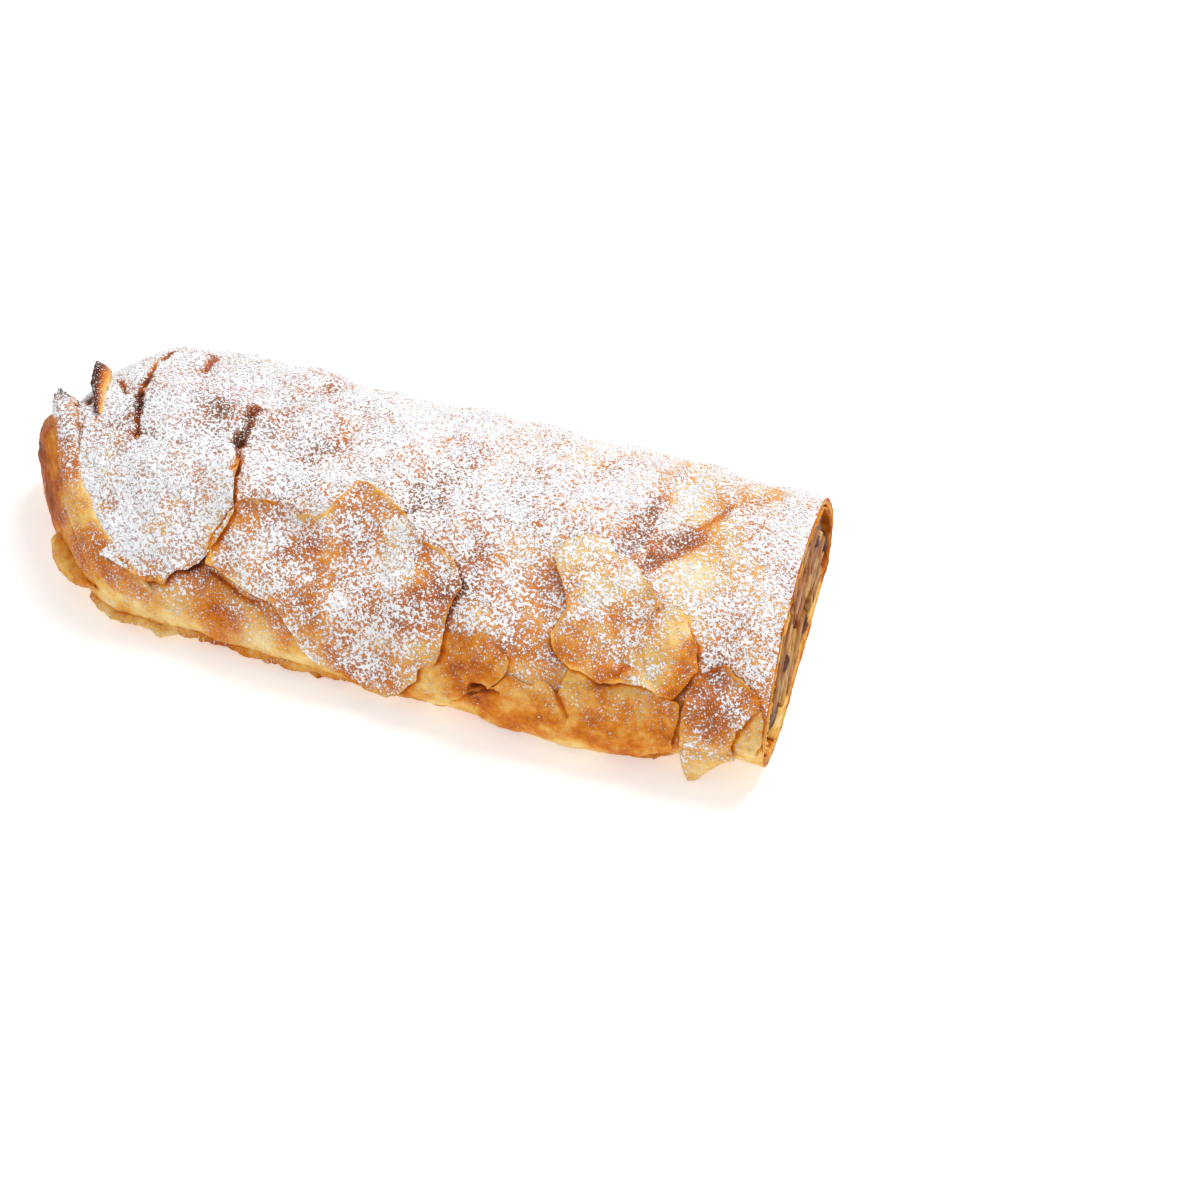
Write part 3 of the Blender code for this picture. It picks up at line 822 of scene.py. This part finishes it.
strips = {
    "fold_left": {
        "root": ((-140, 26), (-135, 14), (-129, 4), (-124, -3)),
        "offsets": ((-3, 1, 4), (-3, 1, 4.5), (-2, 1, 4), (-1, 1, 1)),
        "bow": (-1.0, -1.0, 1.0), "thick": 0.0012, "ragged": 0.0006, "dust": (0.50, 0.42),
        "brown": (0.78, 0.95),
    },
    "fold_burnt": {
        "root": ((-126, 36), (-121, 24), (-117, 10), (-113, -3)),
        "offsets": ((-5, 0, 3.5), (-6, 0, 5.5), (-5, -1, 4), (-2, -1, 1)),
        "bow": (1.0, -1.0, 2.0), "thick": 0.0011, "ragged": 0.0004, "dust": (0.10, 0.20),
        "brown": (0.06, 1.40),
    },
    "flap_left": {
        "root": ((-118, -66), (-110, -68), (-102, -69), (-95, -70)),
        "offsets": ((-3, -4, -3), (-2, -7, -5), (1, -5, -4), (2, -2, -1)),
        "bow": (0.0, -1.0, 1.0), "thick": 0.0006, "ragged": 0.0008, "dust": (-0.10, 0.02),
        "brown": (0.46, 0.34),
    },
    "lip_left": {
        "root": ((-100, -78), (-90, -79), (-78, -80), (-66, -80), (-56, -79)),
        "offsets": ((0, -2, -1), (0, -5, -1), (0, -4, 0), (1, -5, -1), (2, -1, -1)),
        "bow": (0.0, 0.0, 1.2), "thick": 0.0006, "ragged": 0.0012, "dust": (-0.05, 0.14),
        "brown": (0.38, 0.26),
    },
    "lip_front": {
        "root": ((-76, -78), (-60, -79), (-44, -80), (-28, -80), (-10, -81), (4, -81)),
        "offsets": ((0, -1, 0), (0, -3.5, 0), (0, -3, -0.5), (0, -4, -1), (1, -3, -1), (1, -1, -1)),
        "bow": (0.0, 0.0, 1.0), "thick": 0.0006, "ragged": 0.0010, "dust": (0.10, 0.10),
        "brown": (0.25, 0.42),
    },
    "lip_under": {
        "root": ((-58, -86), (-44, -87), (-30, -87), (-14, -87), (2, -87), (18, -86)),
        "offsets": ((0, -1, 0), (0, -5, 0.3), (0, -4, 0), (0, -6, 0.5), (0, -4, 0), (0, -1, 0)),
        "bow": (0.0, 0.0, 0.8), "thick": 0.0006, "ragged": 0.0014, "dust": (0.0, 0.02),
        "brown": (0.30, 0.55),
    },
    "lip_middle": {
        "root": ((6, -80), (16, -81), (28, -82), (40, -83)),
        "offsets": ((0, -1, 0), (0, -3, -0.5), (0, -2.5, -0.5), (0, -1, 0)),
        "bow": (0.0, 0.0, 0.8), "thick": 0.0006, "ragged": 0.0010, "dust": (0.02, 0.02),
        "brown": (0.12, 0.20),
    },
    "lip_right": {
        "root": ((50, -87), (56, -88), (64, -88), (70, -87)),
        "offsets": ((0, -1, 0), (0, -4, 0.4), (0, -4, 0.2), (0, -1, 0)),
        "bow": (0.0, 0.0, 0.6), "thick": 0.0007, "ragged": 0.0010, "dust": (0.0, 0.0),
        "brown": (0.45, 0.62),
    },
    "lip_foot": {
        "root": ((96, -86), (104, -87), (112, -87), (119, -85)),
        "offsets": ((0, -1, 0), (0, -3.5, 0.3), (0, -4.5, 0.2), (0, -1.5, 0)),
        "bow": (0.0, 0.0, 0.8), "thick": 0.0007, "ragged": 0.0010, "dust": (0.05, 0.14),
        "brown": (0.35, 0.35),
    },
    "flap_corner": {
        "root": ((122, -72), (128, -73), (134, -74), (141, -75)),
        "offsets": ((5, -2.5, -19), (3, -2.5, -14), (1, -2, -9), (-1, -1, -4)),
        "bow": (0.0, -2.5, 0.0), "thick": 0.0007, "ragged": 0.0005, "dust": (0.46, 0.10),
        "brown": (0.14, 0.26),
    },
}


stripMake = {  # what all the strips share, in metres
    "spacing": 0.0007, "stepLength": 0.0006, "sunk": 0.0006, "raggedCell": 0.0045, "wave": 0.0005,
    "waveCell": 0.0060, "lowestTop": 0.0012, "lowestFoot": 0.0002,
}


def makeStrip(name, strip):  # a sheet from its root along its offsets, bowed by a sine, with a ragged edge
    root, offsets = np.array(strip["root"], float), np.array(strip["offsets"], float) * 0.001
    marks = lengthsAlong(root) * 0.001
    along = np.linspace(0.0, marks[-1], int(marks[-1] / stripMake["spacing"]) + 6)
    x, s = (np.interp(along, marks, root[:, column]) * 0.001 for column in (0, 1))
    reach = np.stack([np.interp(along, marks, offsets[:, column]) for column in range(3)], axis=-1)
    for _ in range(12):
        reach[1:-1] = (reach[:-2] + reach[1:-1] + reach[2:]) / 3.0
    base, normal = skinFrame(x, s)
    seed = int(abs(root[0, 0]) + abs(root[0, 1]))
    ragged = fractalNoise(along, 0.0 * along, stripMake["raggedCell"], 4, seed) * strip["ragged"]
    size = np.linalg.norm(reach, axis=-1, keepdims=True)
    reach = reach + unit(reach) * ragged[:, None] * np.minimum(1.0, size / 0.003)
    steps = max(7, int(size.max() / stripMake["stepLength"]))
    v = np.linspace(0.0, 1.0, steps)[None, :, None]
    bow = np.array(strip["bow"]) * 0.001 * np.minimum(1.0, size / 0.004)
    start = base - normal * stripMake["sunk"]
    top = start[:, None] + v * reach[:, None] + np.sin(np.pi * v**0.8) * bow[:, None]
    u, w = np.meshgrid(along, np.linspace(0.0, 1.0, steps) * float(size.max()), indexing="ij")
    wave = stripMake["wave"] * fractalNoise(u, w, stripMake["waveCell"], 3, seed + 2)
    top = top + np.array([0.0, -0.4, 1.0]) * wave[..., None]
    top[..., 2] = np.maximum(top[..., 2], stripMake["lowestTop"])
    facing = gridNormals(top)
    facing *= np.sign((facing * np.array([0.0, -0.5, 1.0])).sum())
    thick = strip["thick"] * (1.0 - 0.55 * v[..., 0] ** 2)
    bottom = top - facing * thick[..., None]
    bottom[..., 2] = np.maximum(bottom[..., 2], stripMake["lowestFoot"])
    share = v[..., 0] + 0.0 * u
    dusting, browning = between(strip["dust"], share), between(strip["brown"], share**1.3)
    grainBeds.append((top, facing, dusting))
    if (np.cross(top[1, 0] - top[0, 0], top[0, 1] - top[0, 0]) * facing[0, 0]).sum() > 0:  # faces outwards
        top, bottom, dusting, browning = (grid[::-1] for grid in (top, bottom, dusting, browning))
    attributes = {
        "dusting": np.concatenate([dusting.ravel(), 0.4 * dusting.ravel()]),
        "browning": np.tile(browning.ravel(), 2),
    }
    addPiece(name, slabMesh(name, top, bottom, attributes), crustSurface)


for name, strip in strips.items():
    makeStrip(name, strip)

# the hem: a rounded band that runs down the tucked end and along the foot of the front

hem = {
    "path": ((-132, 5), (-126, -12), (-119, -26), (-112, -37), (-103, -47), (-93, -55), (-82, -61),
             (-71, -66)),
    "widths": (9, 9, 10, 12, 14, 15, 13, 8), "heights": (4.4, 4.0, 3.5, 3.2, 3.0, 2.7, 2.3, 1.7),
    "dust": (0.56, 0.54, 0.44, 0.26, 0.14, 0.18, 0.26, 0.28),
    "brown": (0.70, 0.72, 0.64, 0.48, 0.40, 0.38, 0.40, 0.34), "spacing": 0.0007, "steps": 22,
}


def makeHem():  # an arch of sine form over a smoothed path on the skin, free at its lower edge
    path = np.array(hem["path"], float) * 0.001
    marks = lengthsAlong(path)
    along = np.linspace(0.0, marks[-1], int(marks[-1] / hem["spacing"]))
    line = np.stack([np.interp(along, marks, path[:, column]) for column in (0, 1)], axis=-1)
    for _ in range(40):
        line[1:-1] = (line[:-2] + line[1:-1] + line[2:]) / 3.0
    width, height = (np.interp(along, marks, hem[key]) * 0.001 for key in ("widths", "heights"))
    width = width * (1.0 + 0.14 * fractalNoise(along, 0.0 * along, 0.008, 3, 51))
    run = unit(np.gradient(line, axis=0))
    sideways = np.stack([-run[:, 1], run[:, 0]], axis=-1)
    v = np.linspace(0.0, 1.0, hem["steps"])
    x, s = (line[:, axis, None] + sideways[:, axis, None] * width[:, None] * (v - 0.5) for axis in (0, 1))
    base, normal = skinFrame(np.maximum(x, roll["tuckedEnd"] + 0.0006), s)
    arch = np.sin(np.pi * v) ** 0.4 * (1.15 - 0.35 * v)
    rise = height[:, None] * arch + 0.0004 * fractalNoise(x, s, 0.006, 3, 57)
    free = smoothStep((v - 0.72) / 0.28) * smoothStep((along[:, None] - 0.045) / 0.03)
    top = base + normal * (rise + 0.0011 * free)[..., None]
    bottom = base + normal * (np.minimum(rise - 0.0012, 0.0) + 0.0005 * free)[..., None]
    dusting = np.interp(along, marks, hem["dust"])[:, None] + 0.10 * (v - 0.4)
    browning = np.interp(along, marks, hem["brown"])[:, None] - 0.22 * smoothStep((v - 0.8) / 0.2)
    attributes = {
        "dusting": np.concatenate([dusting.ravel(), 0.0 * dusting.ravel()]),
        "browning": np.tile(browning.ravel(), 2),
    }
    addPiece("hem_left", slabMesh("hem_left", top, bottom, attributes), crustSurface)
    grainBeds.append((top, normal, dusting))


makeHem()
print("folds and lips made")

# the cut face

# the filling's own browns, pale, stained and juice, darkened further as painted shade over the whole cut
# face
fillingLook = {
    "shadedPale": shade(206, 158, 88), "shadedStained": shade(154, 90, 32), "shadedJuice": shade(86, 42, 14),
    "shadedDarkJuice": shade(84, 42, 18), "raisin": shade(60, 28, 12), "raisinLight": shade(104, 52, 22),
}


def appleMaterial():  # pale to juice-brown by browning, with clouds and fibres of noise; all of it darkened as painted shade
    look = Look("apple")
    place = look.place()
    cloud = look.noise(place, 150.0, 3.0)
    fibre = look.noise(place, 900.0, 2.0)
    stain = look.attribute("browning") + (cloud - 0.5) * 1.1 + (fibre - 0.5) * 0.25
    stops = ((0.1, fillingLook["shadedPale"]), (0.55, fillingLook["shadedStained"]), (1.0, fillingLook["shadedJuice"]))
    colour = look.blend(stain, stops)
    return look.finish(
        Base_Color=colour, Roughness=fibre * 0.3 + 0.38,
        Normal=look.bump(fibre * 0.5 + cloud, 0.0005, 0.7), Specular_IOR_Level=0.18,
        Subsurface_Weight=0.25, Subsurface_Radius=(0.004, 0.002, 0.001), Subsurface_Scale=0.8,
    )


def juiceMaterial():  # dark to stained by one cloud of noise, which is also its relief; all of it darkened as painted shade
    look = Look("apple_juice")
    place = look.place()
    cloud = look.noise(place, 260.0, 4.0, 0.65)
    stops = ((0.32, fillingLook["shadedDarkJuice"]), (0.46, fillingLook["shadedJuice"]), (0.66, fillingLook["shadedStained"]))
    bump = look.bump(cloud, 0.0025, 0.9)
    colour = look.blend(cloud, stops)
    return look.finish(Base_Color=colour, Roughness=0.38, Normal=bump, Specular_IOR_Level=0.22)


def raisinMaterial():  # two dark browns mixed by noise
    look = Look("raisin")
    cloud = look.noise(look.place(), 480.0, 3.0)
    colour = look.mix(cloud, fillingLook["raisin"], fillingLook["raisinLight"])
    bump = look.bump(cloud, 0.0012, 1.0)
    return look.finish(Base_Color=colour, Roughness=0.42, Normal=bump, Specular_IOR_Level=0.18)


filling = {
    "stacks": 36, "slices": 3, "depth": (0.008, 0.013), "length": (0.012, 0.023),
    "thickness": (0.0052, 0.0092),
    "seed": 29, "inset": 0.0052, "recess": 0.0026, "layerStep": 0.0058,
    "leanAt": (-0.045, -0.02, 0.01, 0.03, 0.06), "leans": (44, 36, 16, 6, -16),  # degrees, across the cut
    # the stain spreads lean dark, partly the apples' own cinnamon brown and partly painted shade over the
    # cut face
    "paleShare": 0.26, "paleStain": (0.16, 0.34), "brownStain": (0.38, 0.66),
    "juiceInset": 0.0028, "juiceDepth": 0.0026, "juiceUneven": 0.0011,
}
cutStation = roll["cutEnd"]
cutDegrees = np.linspace(270.0, -90.0, 361)
cutY, cutZ = sectionAt(np.full(len(cutDegrees), cutStation), cutDegrees, 0.0, 0.0)
cutMiddle = (0.007, 0.021)
cutAngles = np.arctan2(cutZ - cutMiddle[1], cutY - cutMiddle[0])
cutOrder = np.argsort(cutAngles)
cutRadii = np.hypot(cutY - cutMiddle[0], cutZ - cutMiddle[1])


def insideCut(y, z, inset):  # points of the cut face drawn in so that they stay inset from its outline
    dy, dz = y - cutMiddle[0], z - cutMiddle[1]
    radius = np.hypot(dy, dz) + 1e-9
    room = np.interp(np.arctan2(dz, dy), cutAngles[cutOrder], cutRadii[cutOrder], period=2.0 * np.pi)
    across = np.abs(dz) / radius
    most = room - inset / np.maximum(0.35, across)
    scale = np.minimum(1.0, most / radius)
    return cutMiddle[0] + dy * scale, cutMiddle[1] + dz * scale


def cutPlace(y, z, depth):  # the point at y and z that lies depth behind the slanting cut
    x = cutStation - depth + roll["cutSkew"] * y + roll["cutLean"] * z
    return np.stack([x, y, z], axis=-1) + shift


def makeSlices():  # flattened tubes in stacks that lean alike; golden steps spread the stacks evenly
    rng = np.random.default_rng(filling["seed"])
    rows, columns = 16, 16
    u = np.linspace(0.03, 0.97, rows)[:, None]
    a = np.linspace(0.0, 2.0 * np.pi, columns, endpoint=False)[None, :]
    tubes, stains = [], []
    for number in range(filling["stacks"] * filling["slices"]):
        stack, layer = divmod(number, filling["slices"])
        if layer == 0:
            startY = np.array(-0.040 + 0.100 * (0.618 * stack % 1.0))
            startZ = np.array(0.006 + 0.036 * (0.755 * stack % 1.0))
            stackY, stackZ = insideCut(startY, startZ, 0.008)
            stackLean = np.interp(stackY, filling["leanAt"], filling["leans"]) + rng.normal(0.0, 9.0)
        lean = stackLean + rng.normal(0.0, 4.0)
        length, thick = rng.uniform(*filling["length"]), rng.uniform(*filling["thickness"])
        away = (layer - 0.5 * filling["slices"] + 0.5) * filling["layerStep"]
        slide = rng.normal(0.0, 0.003)
        turn = np.radians(lean)
        y = stackY - away * np.sin(turn) + slide * np.cos(turn)
        z = stackZ + away * np.cos(turn) + slide * np.sin(turn)
        depth, recess = rng.uniform(*filling["depth"]), filling["recess"] * rng.random() ** 1.6
        thinner = u if rng.random() < 0.5 else 1.0 - u
        taper = (1.0 - (2.0 * np.abs(u - 0.5)) ** 5.0) ** 0.4 * (0.30 + 0.85 * thinner)
        bend = rng.uniform(-0.10, 0.16) * length * (1.0 - (2.0 * u - 1.0) ** 2)
        inwards = depth * (0.5 + 0.5 * signedPower(np.sin(a), 0.5))
        along = (u - 0.5) * length + 0.0 * a
        sideways = 0.5 * thick * taper * signedPower(np.cos(a), 0.55) + bend
        py = y + along * np.cos(turn) - sideways * np.sin(turn)
        pz = z + along * np.sin(turn) + sideways * np.cos(turn)
        py, pz = insideCut(py, pz, filling["inset"] - 0.0006)
        tubes.append(cutPlace(py, pz, recess + inwards))
        own = rng.uniform(*filling["paleStain" if rng.random() < filling["paleShare"] else "brownStain"])
        stain = own + 0.22 * np.abs(np.cos(a)) ** 4 + 0.9 * np.maximum(0.0, inwards / depth - 0.15) + 0.0 * u
        stains.append(np.concatenate([stain.ravel(), [0.4, 0.4]]))
    mesh = tubesMesh("apple_slices", tubes, {"browning": np.concatenate(stains)})
    addPiece("apple_slices", mesh, appleMaterial(), "apple_filling")


def makeJuice():  # the soft mass between the slices: the section drawn in, with noise in its depth
    rows, columns = 30, 240
    a = np.linspace(0.0, 2.0 * np.pi, columns, endpoint=False)
    far = np.interp(a, cutAngles[cutOrder], cutRadii[cutOrder], period=2.0 * np.pi)
    shares = np.concatenate([np.linspace(0.03, 1.0, rows), np.full(3, 1.0)])[:, None]
    y = cutMiddle[0] + shares * far * np.cos(a)
    z = cutMiddle[1] + shares * far * np.sin(a)
    y, z = insideCut(y, z, filling["juiceInset"])
    depth = filling["juiceDepth"] + filling["juiceUneven"] * fractalNoise(y, z, 0.007, 4, 91)
    depth[-3:] = np.array([0.005, 0.010, 0.015])[:, None]
    quads = gridFaces(len(shares), columns, True)[:, ::-1]
    fans = poleFans(len(shares), columns, flip=True)
    mesh = makeMesh("apple_juice", withPoles(cutPlace(y, z, depth)), quads, fans)
    addPiece("apple_juice", mesh, juiceMaterial())


raisins = {
    "halfDepth": 4.0, "behindCut": 0.0036,
    # y, z, half length, half height in mm, lean in degrees
    "places": (
        (-18, 26, 5.2, 3.2, 30), (14, 9, 5.6, 3.1, 12), (34, 30, 4.8, 3.2, -20), (48, 14, 4.8, 3.0, 40),
    ),
}


def makeRaisins():  # balls with random folds, drawn out to their two half axes
    rows, columns = 22, 28
    v = np.linspace(0.0, np.pi, rows + 2)[1:-1, None]
    a = np.linspace(0.0, 2.0 * np.pi, columns, endpoint=False)[None, :]
    direction = np.stack([np.cos(v) + 0.0 * a, np.sin(v) * np.cos(a), np.sin(v) * np.sin(a)], axis=-1)
    tubes = []
    for number, (y, z, halfLength, halfHeight, lean) in enumerate(raisins["places"]):
        noiseU = 3.0 * direction[..., 1] + number
        noiseV = 1.4 * direction[..., 0] + direction[..., 2] * 3.0
        folds = 1.0 + 0.16 * fractalNoise(noiseU, noiseV, 0.8, 3, 40 + number)
        halves = np.array([halfLength, halfHeight, raisins["halfDepth"]])
        shape = direction * folds[..., None] * halves * 0.001
        turn = np.radians(lean)
        py = y * 0.001 + shape[..., 0] * np.cos(turn) - shape[..., 1] * np.sin(turn)
        pz = z * 0.001 + shape[..., 0] * np.sin(turn) + shape[..., 1] * np.cos(turn)
        tubes.append(cutPlace(py, pz, raisins["behindCut"] + shape[..., 2]))
    addPiece("raisins", tubesMesh("raisins", tubes), raisinMaterial())


turns = {  # first and last degrees round the section, inset at each and thickness in mm, browning
    "dough_turn_outer": (214, 128, 3.3, 3.9, 0.55, 0.42),
    "dough_turn_middle": (206, 100, 4.6, 5.6, 0.6, 0.28),
    "dough_turn_inner": (192, 140, 6.2, 8.2, 0.6, 0.36), "dough_turn_top": (112, 34, 3.6, 4.4, 0.5, 0.34),
    "dough_turn_back": (70, -24, 4.9, 3.5, 0.55, 0.42),
    "dough_turn_under": (-40, -128, 3.2, 3.9, 0.7, 0.26),
}


def makeTurns():  # a thin band round the section, a little inside the one before, waving in and out
    for name, (first, last, insetStart, insetEnd, thick, brown) in turns.items():
        count = int(abs(first - last) * 1.4) + 20
        share = np.linspace(0.0, 1.0, count)[:, None]
        depth = np.array([0.0, 0.0006, 0.004, 0.012])[None, :]
        degrees = between((first, last), share) + 0.0 * depth
        seed = int(abs(first))
        wave = 0.0005 * fractalNoise(share * 0.1, 0.0 * share, 0.011, 3, seed)
        inset = between((insetStart, insetEnd), share) * 0.001 + wave + 0.0 * depth
        proud = -0.0004 * fractalNoise(share * 0.1, 0.0 * share, 0.006, 3, seed + 1) + 0.0001
        sides = []
        for extra in (0.0, thick * 0.001):
            y, z = sectionAt(np.full(degrees.shape, cutStation), degrees, inset + extra, 0.0)
            sides.append(cutPlace(y, np.maximum(z, inset + extra), depth + proud))
        size = 2 * degrees.size
        attributes = {"dusting": np.full(size, -0.8), "browning": np.full(size, brown)}
        addPiece(name, slabMesh(name, *sides, attributes), crustSurface)


makeSlices()
makeJuice()
makeRaisins()
makeTurns()
print("cut face made")

# loose sugar on top of the dusting

sugar = {  # grains in each piece, where one piece ends and the next begins, sizes, least dusting with grains
    "perPiece": 8500, "breaks": (-0.072, 0.004, 0.078), "radius": (0.00022, 0.00050), "barely": 0.25,
    "seed": 83,
}


def sugarMaterial():  # matt and white
    return Look("sugar").finish(Base_Color=crustLook["sugar"], Roughness=0.9, Specular_IOR_Level=0.2)


def makeSugar():  # grains strewn over the beds by their dusting and by how far they face up
    rng = np.random.default_rng(sugar["seed"])
    corners, outwards, weights = [], [], []
    for points, normals, dusting in grainBeds:
        here, ahead, beside = points[:-1, :-1], points[1:, :-1], points[:-1, 1:]
        area = np.linalg.norm(np.cross(ahead - here, beside - here), axis=-1)
        dust = np.clip(dusting[:-1, :-1] - sugar["barely"], 0.0, 1.0) ** 1.4
        weights.append((area * dust * np.clip(normals[:-1, :-1, 2] + 0.15, 0.0, 1.0)).ravel())
        corners.append(np.stack([here, ahead, beside], axis=2).reshape(-1, 3, 3))
        outwards.append(normals[:-1, :-1].reshape(-1, 3))
    corners, outwards, weights = np.concatenate(corners), np.concatenate(outwards), np.concatenate(weights)
    look = sugarMaterial()
    along = corners[:, 0, 0]
    edges = (-1.0, *(edge + shift[0] for edge in sugar["breaks"]), 1.0)
    octahedron = np.array([(1, 0, 0), (0, 1, 0), (-1, 0, 0), (0, -1, 0), (0, 0, 1), (0, 0, -1)], float)
    upper = np.array([(0, 1, 4), (1, 2, 4), (2, 3, 4), (3, 0, 4)])
    sides = np.concatenate([upper, np.where(upper == 4, 5, upper)[:, [1, 0, 2]]])
    count = sugar["perPiece"]
    for number, (first, last) in enumerate(zip(edges, edges[1:])):
        here = np.where((along >= first) & (along < last), weights, 0.0)
        chosen = rng.choice(len(here), count, p=here / here.sum())
        u, v = rng.random((2, count, 1))
        patch = corners[chosen]
        place = patch[:, 0] + u * (patch[:, 1] - patch[:, 0]) + v * (patch[:, 2] - patch[:, 0])
        radius = rng.uniform(*sugar["radius"], (count, 1, 1))
        shape = octahedron * rng.uniform(0.7, 1.25, (count, 6, 1))
        axis, second = unit(rng.normal(size=(2, count, 3)))
        third = unit(np.cross(axis, second))
        turn = np.stack([axis, np.cross(third, axis), third], axis=1)
        blobs = place[:, None] + (shape @ turn) * radius + outwards[chosen][:, None] * radius * 0.35
        faces = sides + 6 * np.arange(count)[:, None, None]
        name = "sugar_" + str(number + 1)
        mesh = makeMesh(name, blobs.reshape(-1, 3), np.zeros((0, 4), int), faces.reshape(-1, 3))
        addPiece(name, mesh, look)


makeSugar()
print("sugar made")

# camera, light, floor

stage = {
    "azimuth": 19.6, "elevation": 50.0, "distance": 0.62, "aim": (0.0728, 0.0068, 0.0), "lens": 51.0,
    "floorSize": 6.0, "floorHeight": -0.0002, "floorGlow": 0.30, "worldStrength": 0.60,
    "lightAim": (0.0, 0.0, 0.02),
    "lights": {  # place, size, power, colour
        "key": ((0.30, 0.55, 0.95), 0.55, 8.1, (1.0, 0.99, 0.975)),
        "front": ((0.2, -0.9, 0.7), 0.9, 2.0, (1.0, 0.99, 0.98)),
    },
}


def addLight(name, place, size, power, colour):  # a round lamp that faces lightAim
    data = bpy.data.lights.new(name, "AREA")
    data.shape, data.size, data.energy, data.color = "DISK", size, power, colour
    light = bpy.data.objects.new(name, data)
    light.location = place
    light.rotation_euler = (Vector(stage["lightAim"]) - Vector(place)).to_track_quat("-Z", "Y").to_euler()
    bpy.context.scene.collection.objects.link(light)


def makeStage():  # the camera stands at its distance from aim, turned by azimuth and raised by elevation
    scene = bpy.context.scene
    azimuth, elevation = np.radians(stage["azimuth"]), np.radians(stage["elevation"])
    aim = Vector(stage["aim"]) + Vector(shift)
    level = np.cos(elevation)
    back = Vector((np.sin(azimuth) * level, -np.cos(azimuth) * level, np.sin(elevation)))
    data = bpy.data.cameras.new("camera")
    data.lens, data.sensor_width = stage["lens"], 36.0
    camera = bpy.data.objects.new("camera", data)
    camera.location = aim + stage["distance"] * back
    camera.rotation_euler = back.to_track_quat("Z", "Y").to_euler()
    scene.collection.objects.link(camera)
    scene.camera = camera

    world = bpy.data.worlds.new("studio")
    world.use_nodes = True
    background = world.node_tree.nodes["Background"]
    background.inputs["Color"].default_value = (1.0, 1.0, 1.0, 1.0)
    background.inputs["Strength"].default_value = stage["worldStrength"]
    scene.world = world
    for name, light in stage["lights"].items():
        addLight(name, *light)

    half, height = stage["floorSize"] / 2.0, stage["floorHeight"]
    corners = np.array([(x * half, y * half, height) for x, y in ((-1, -1), (1, -1), (1, 1), (-1, 1))])
    floorLook = Look("floor").finish(
        Base_Color=(0.93, 0.93, 0.93, 1.0), Roughness=0.9, Emission_Color=(1.0, 1.0, 1.0, 1.0),
        Emission_Strength=stage["floorGlow"],
    )
    mesh = makeMesh("floor", corners, np.array([[0, 1, 2, 3]]))
    mesh.materials.append(floorLook)
    floor = bpy.data.objects.new("floor", mesh)
    scene.collection.objects.link(floor)
    scene.view_settings.view_transform = "Standard"


makeStage()
print("stage made")
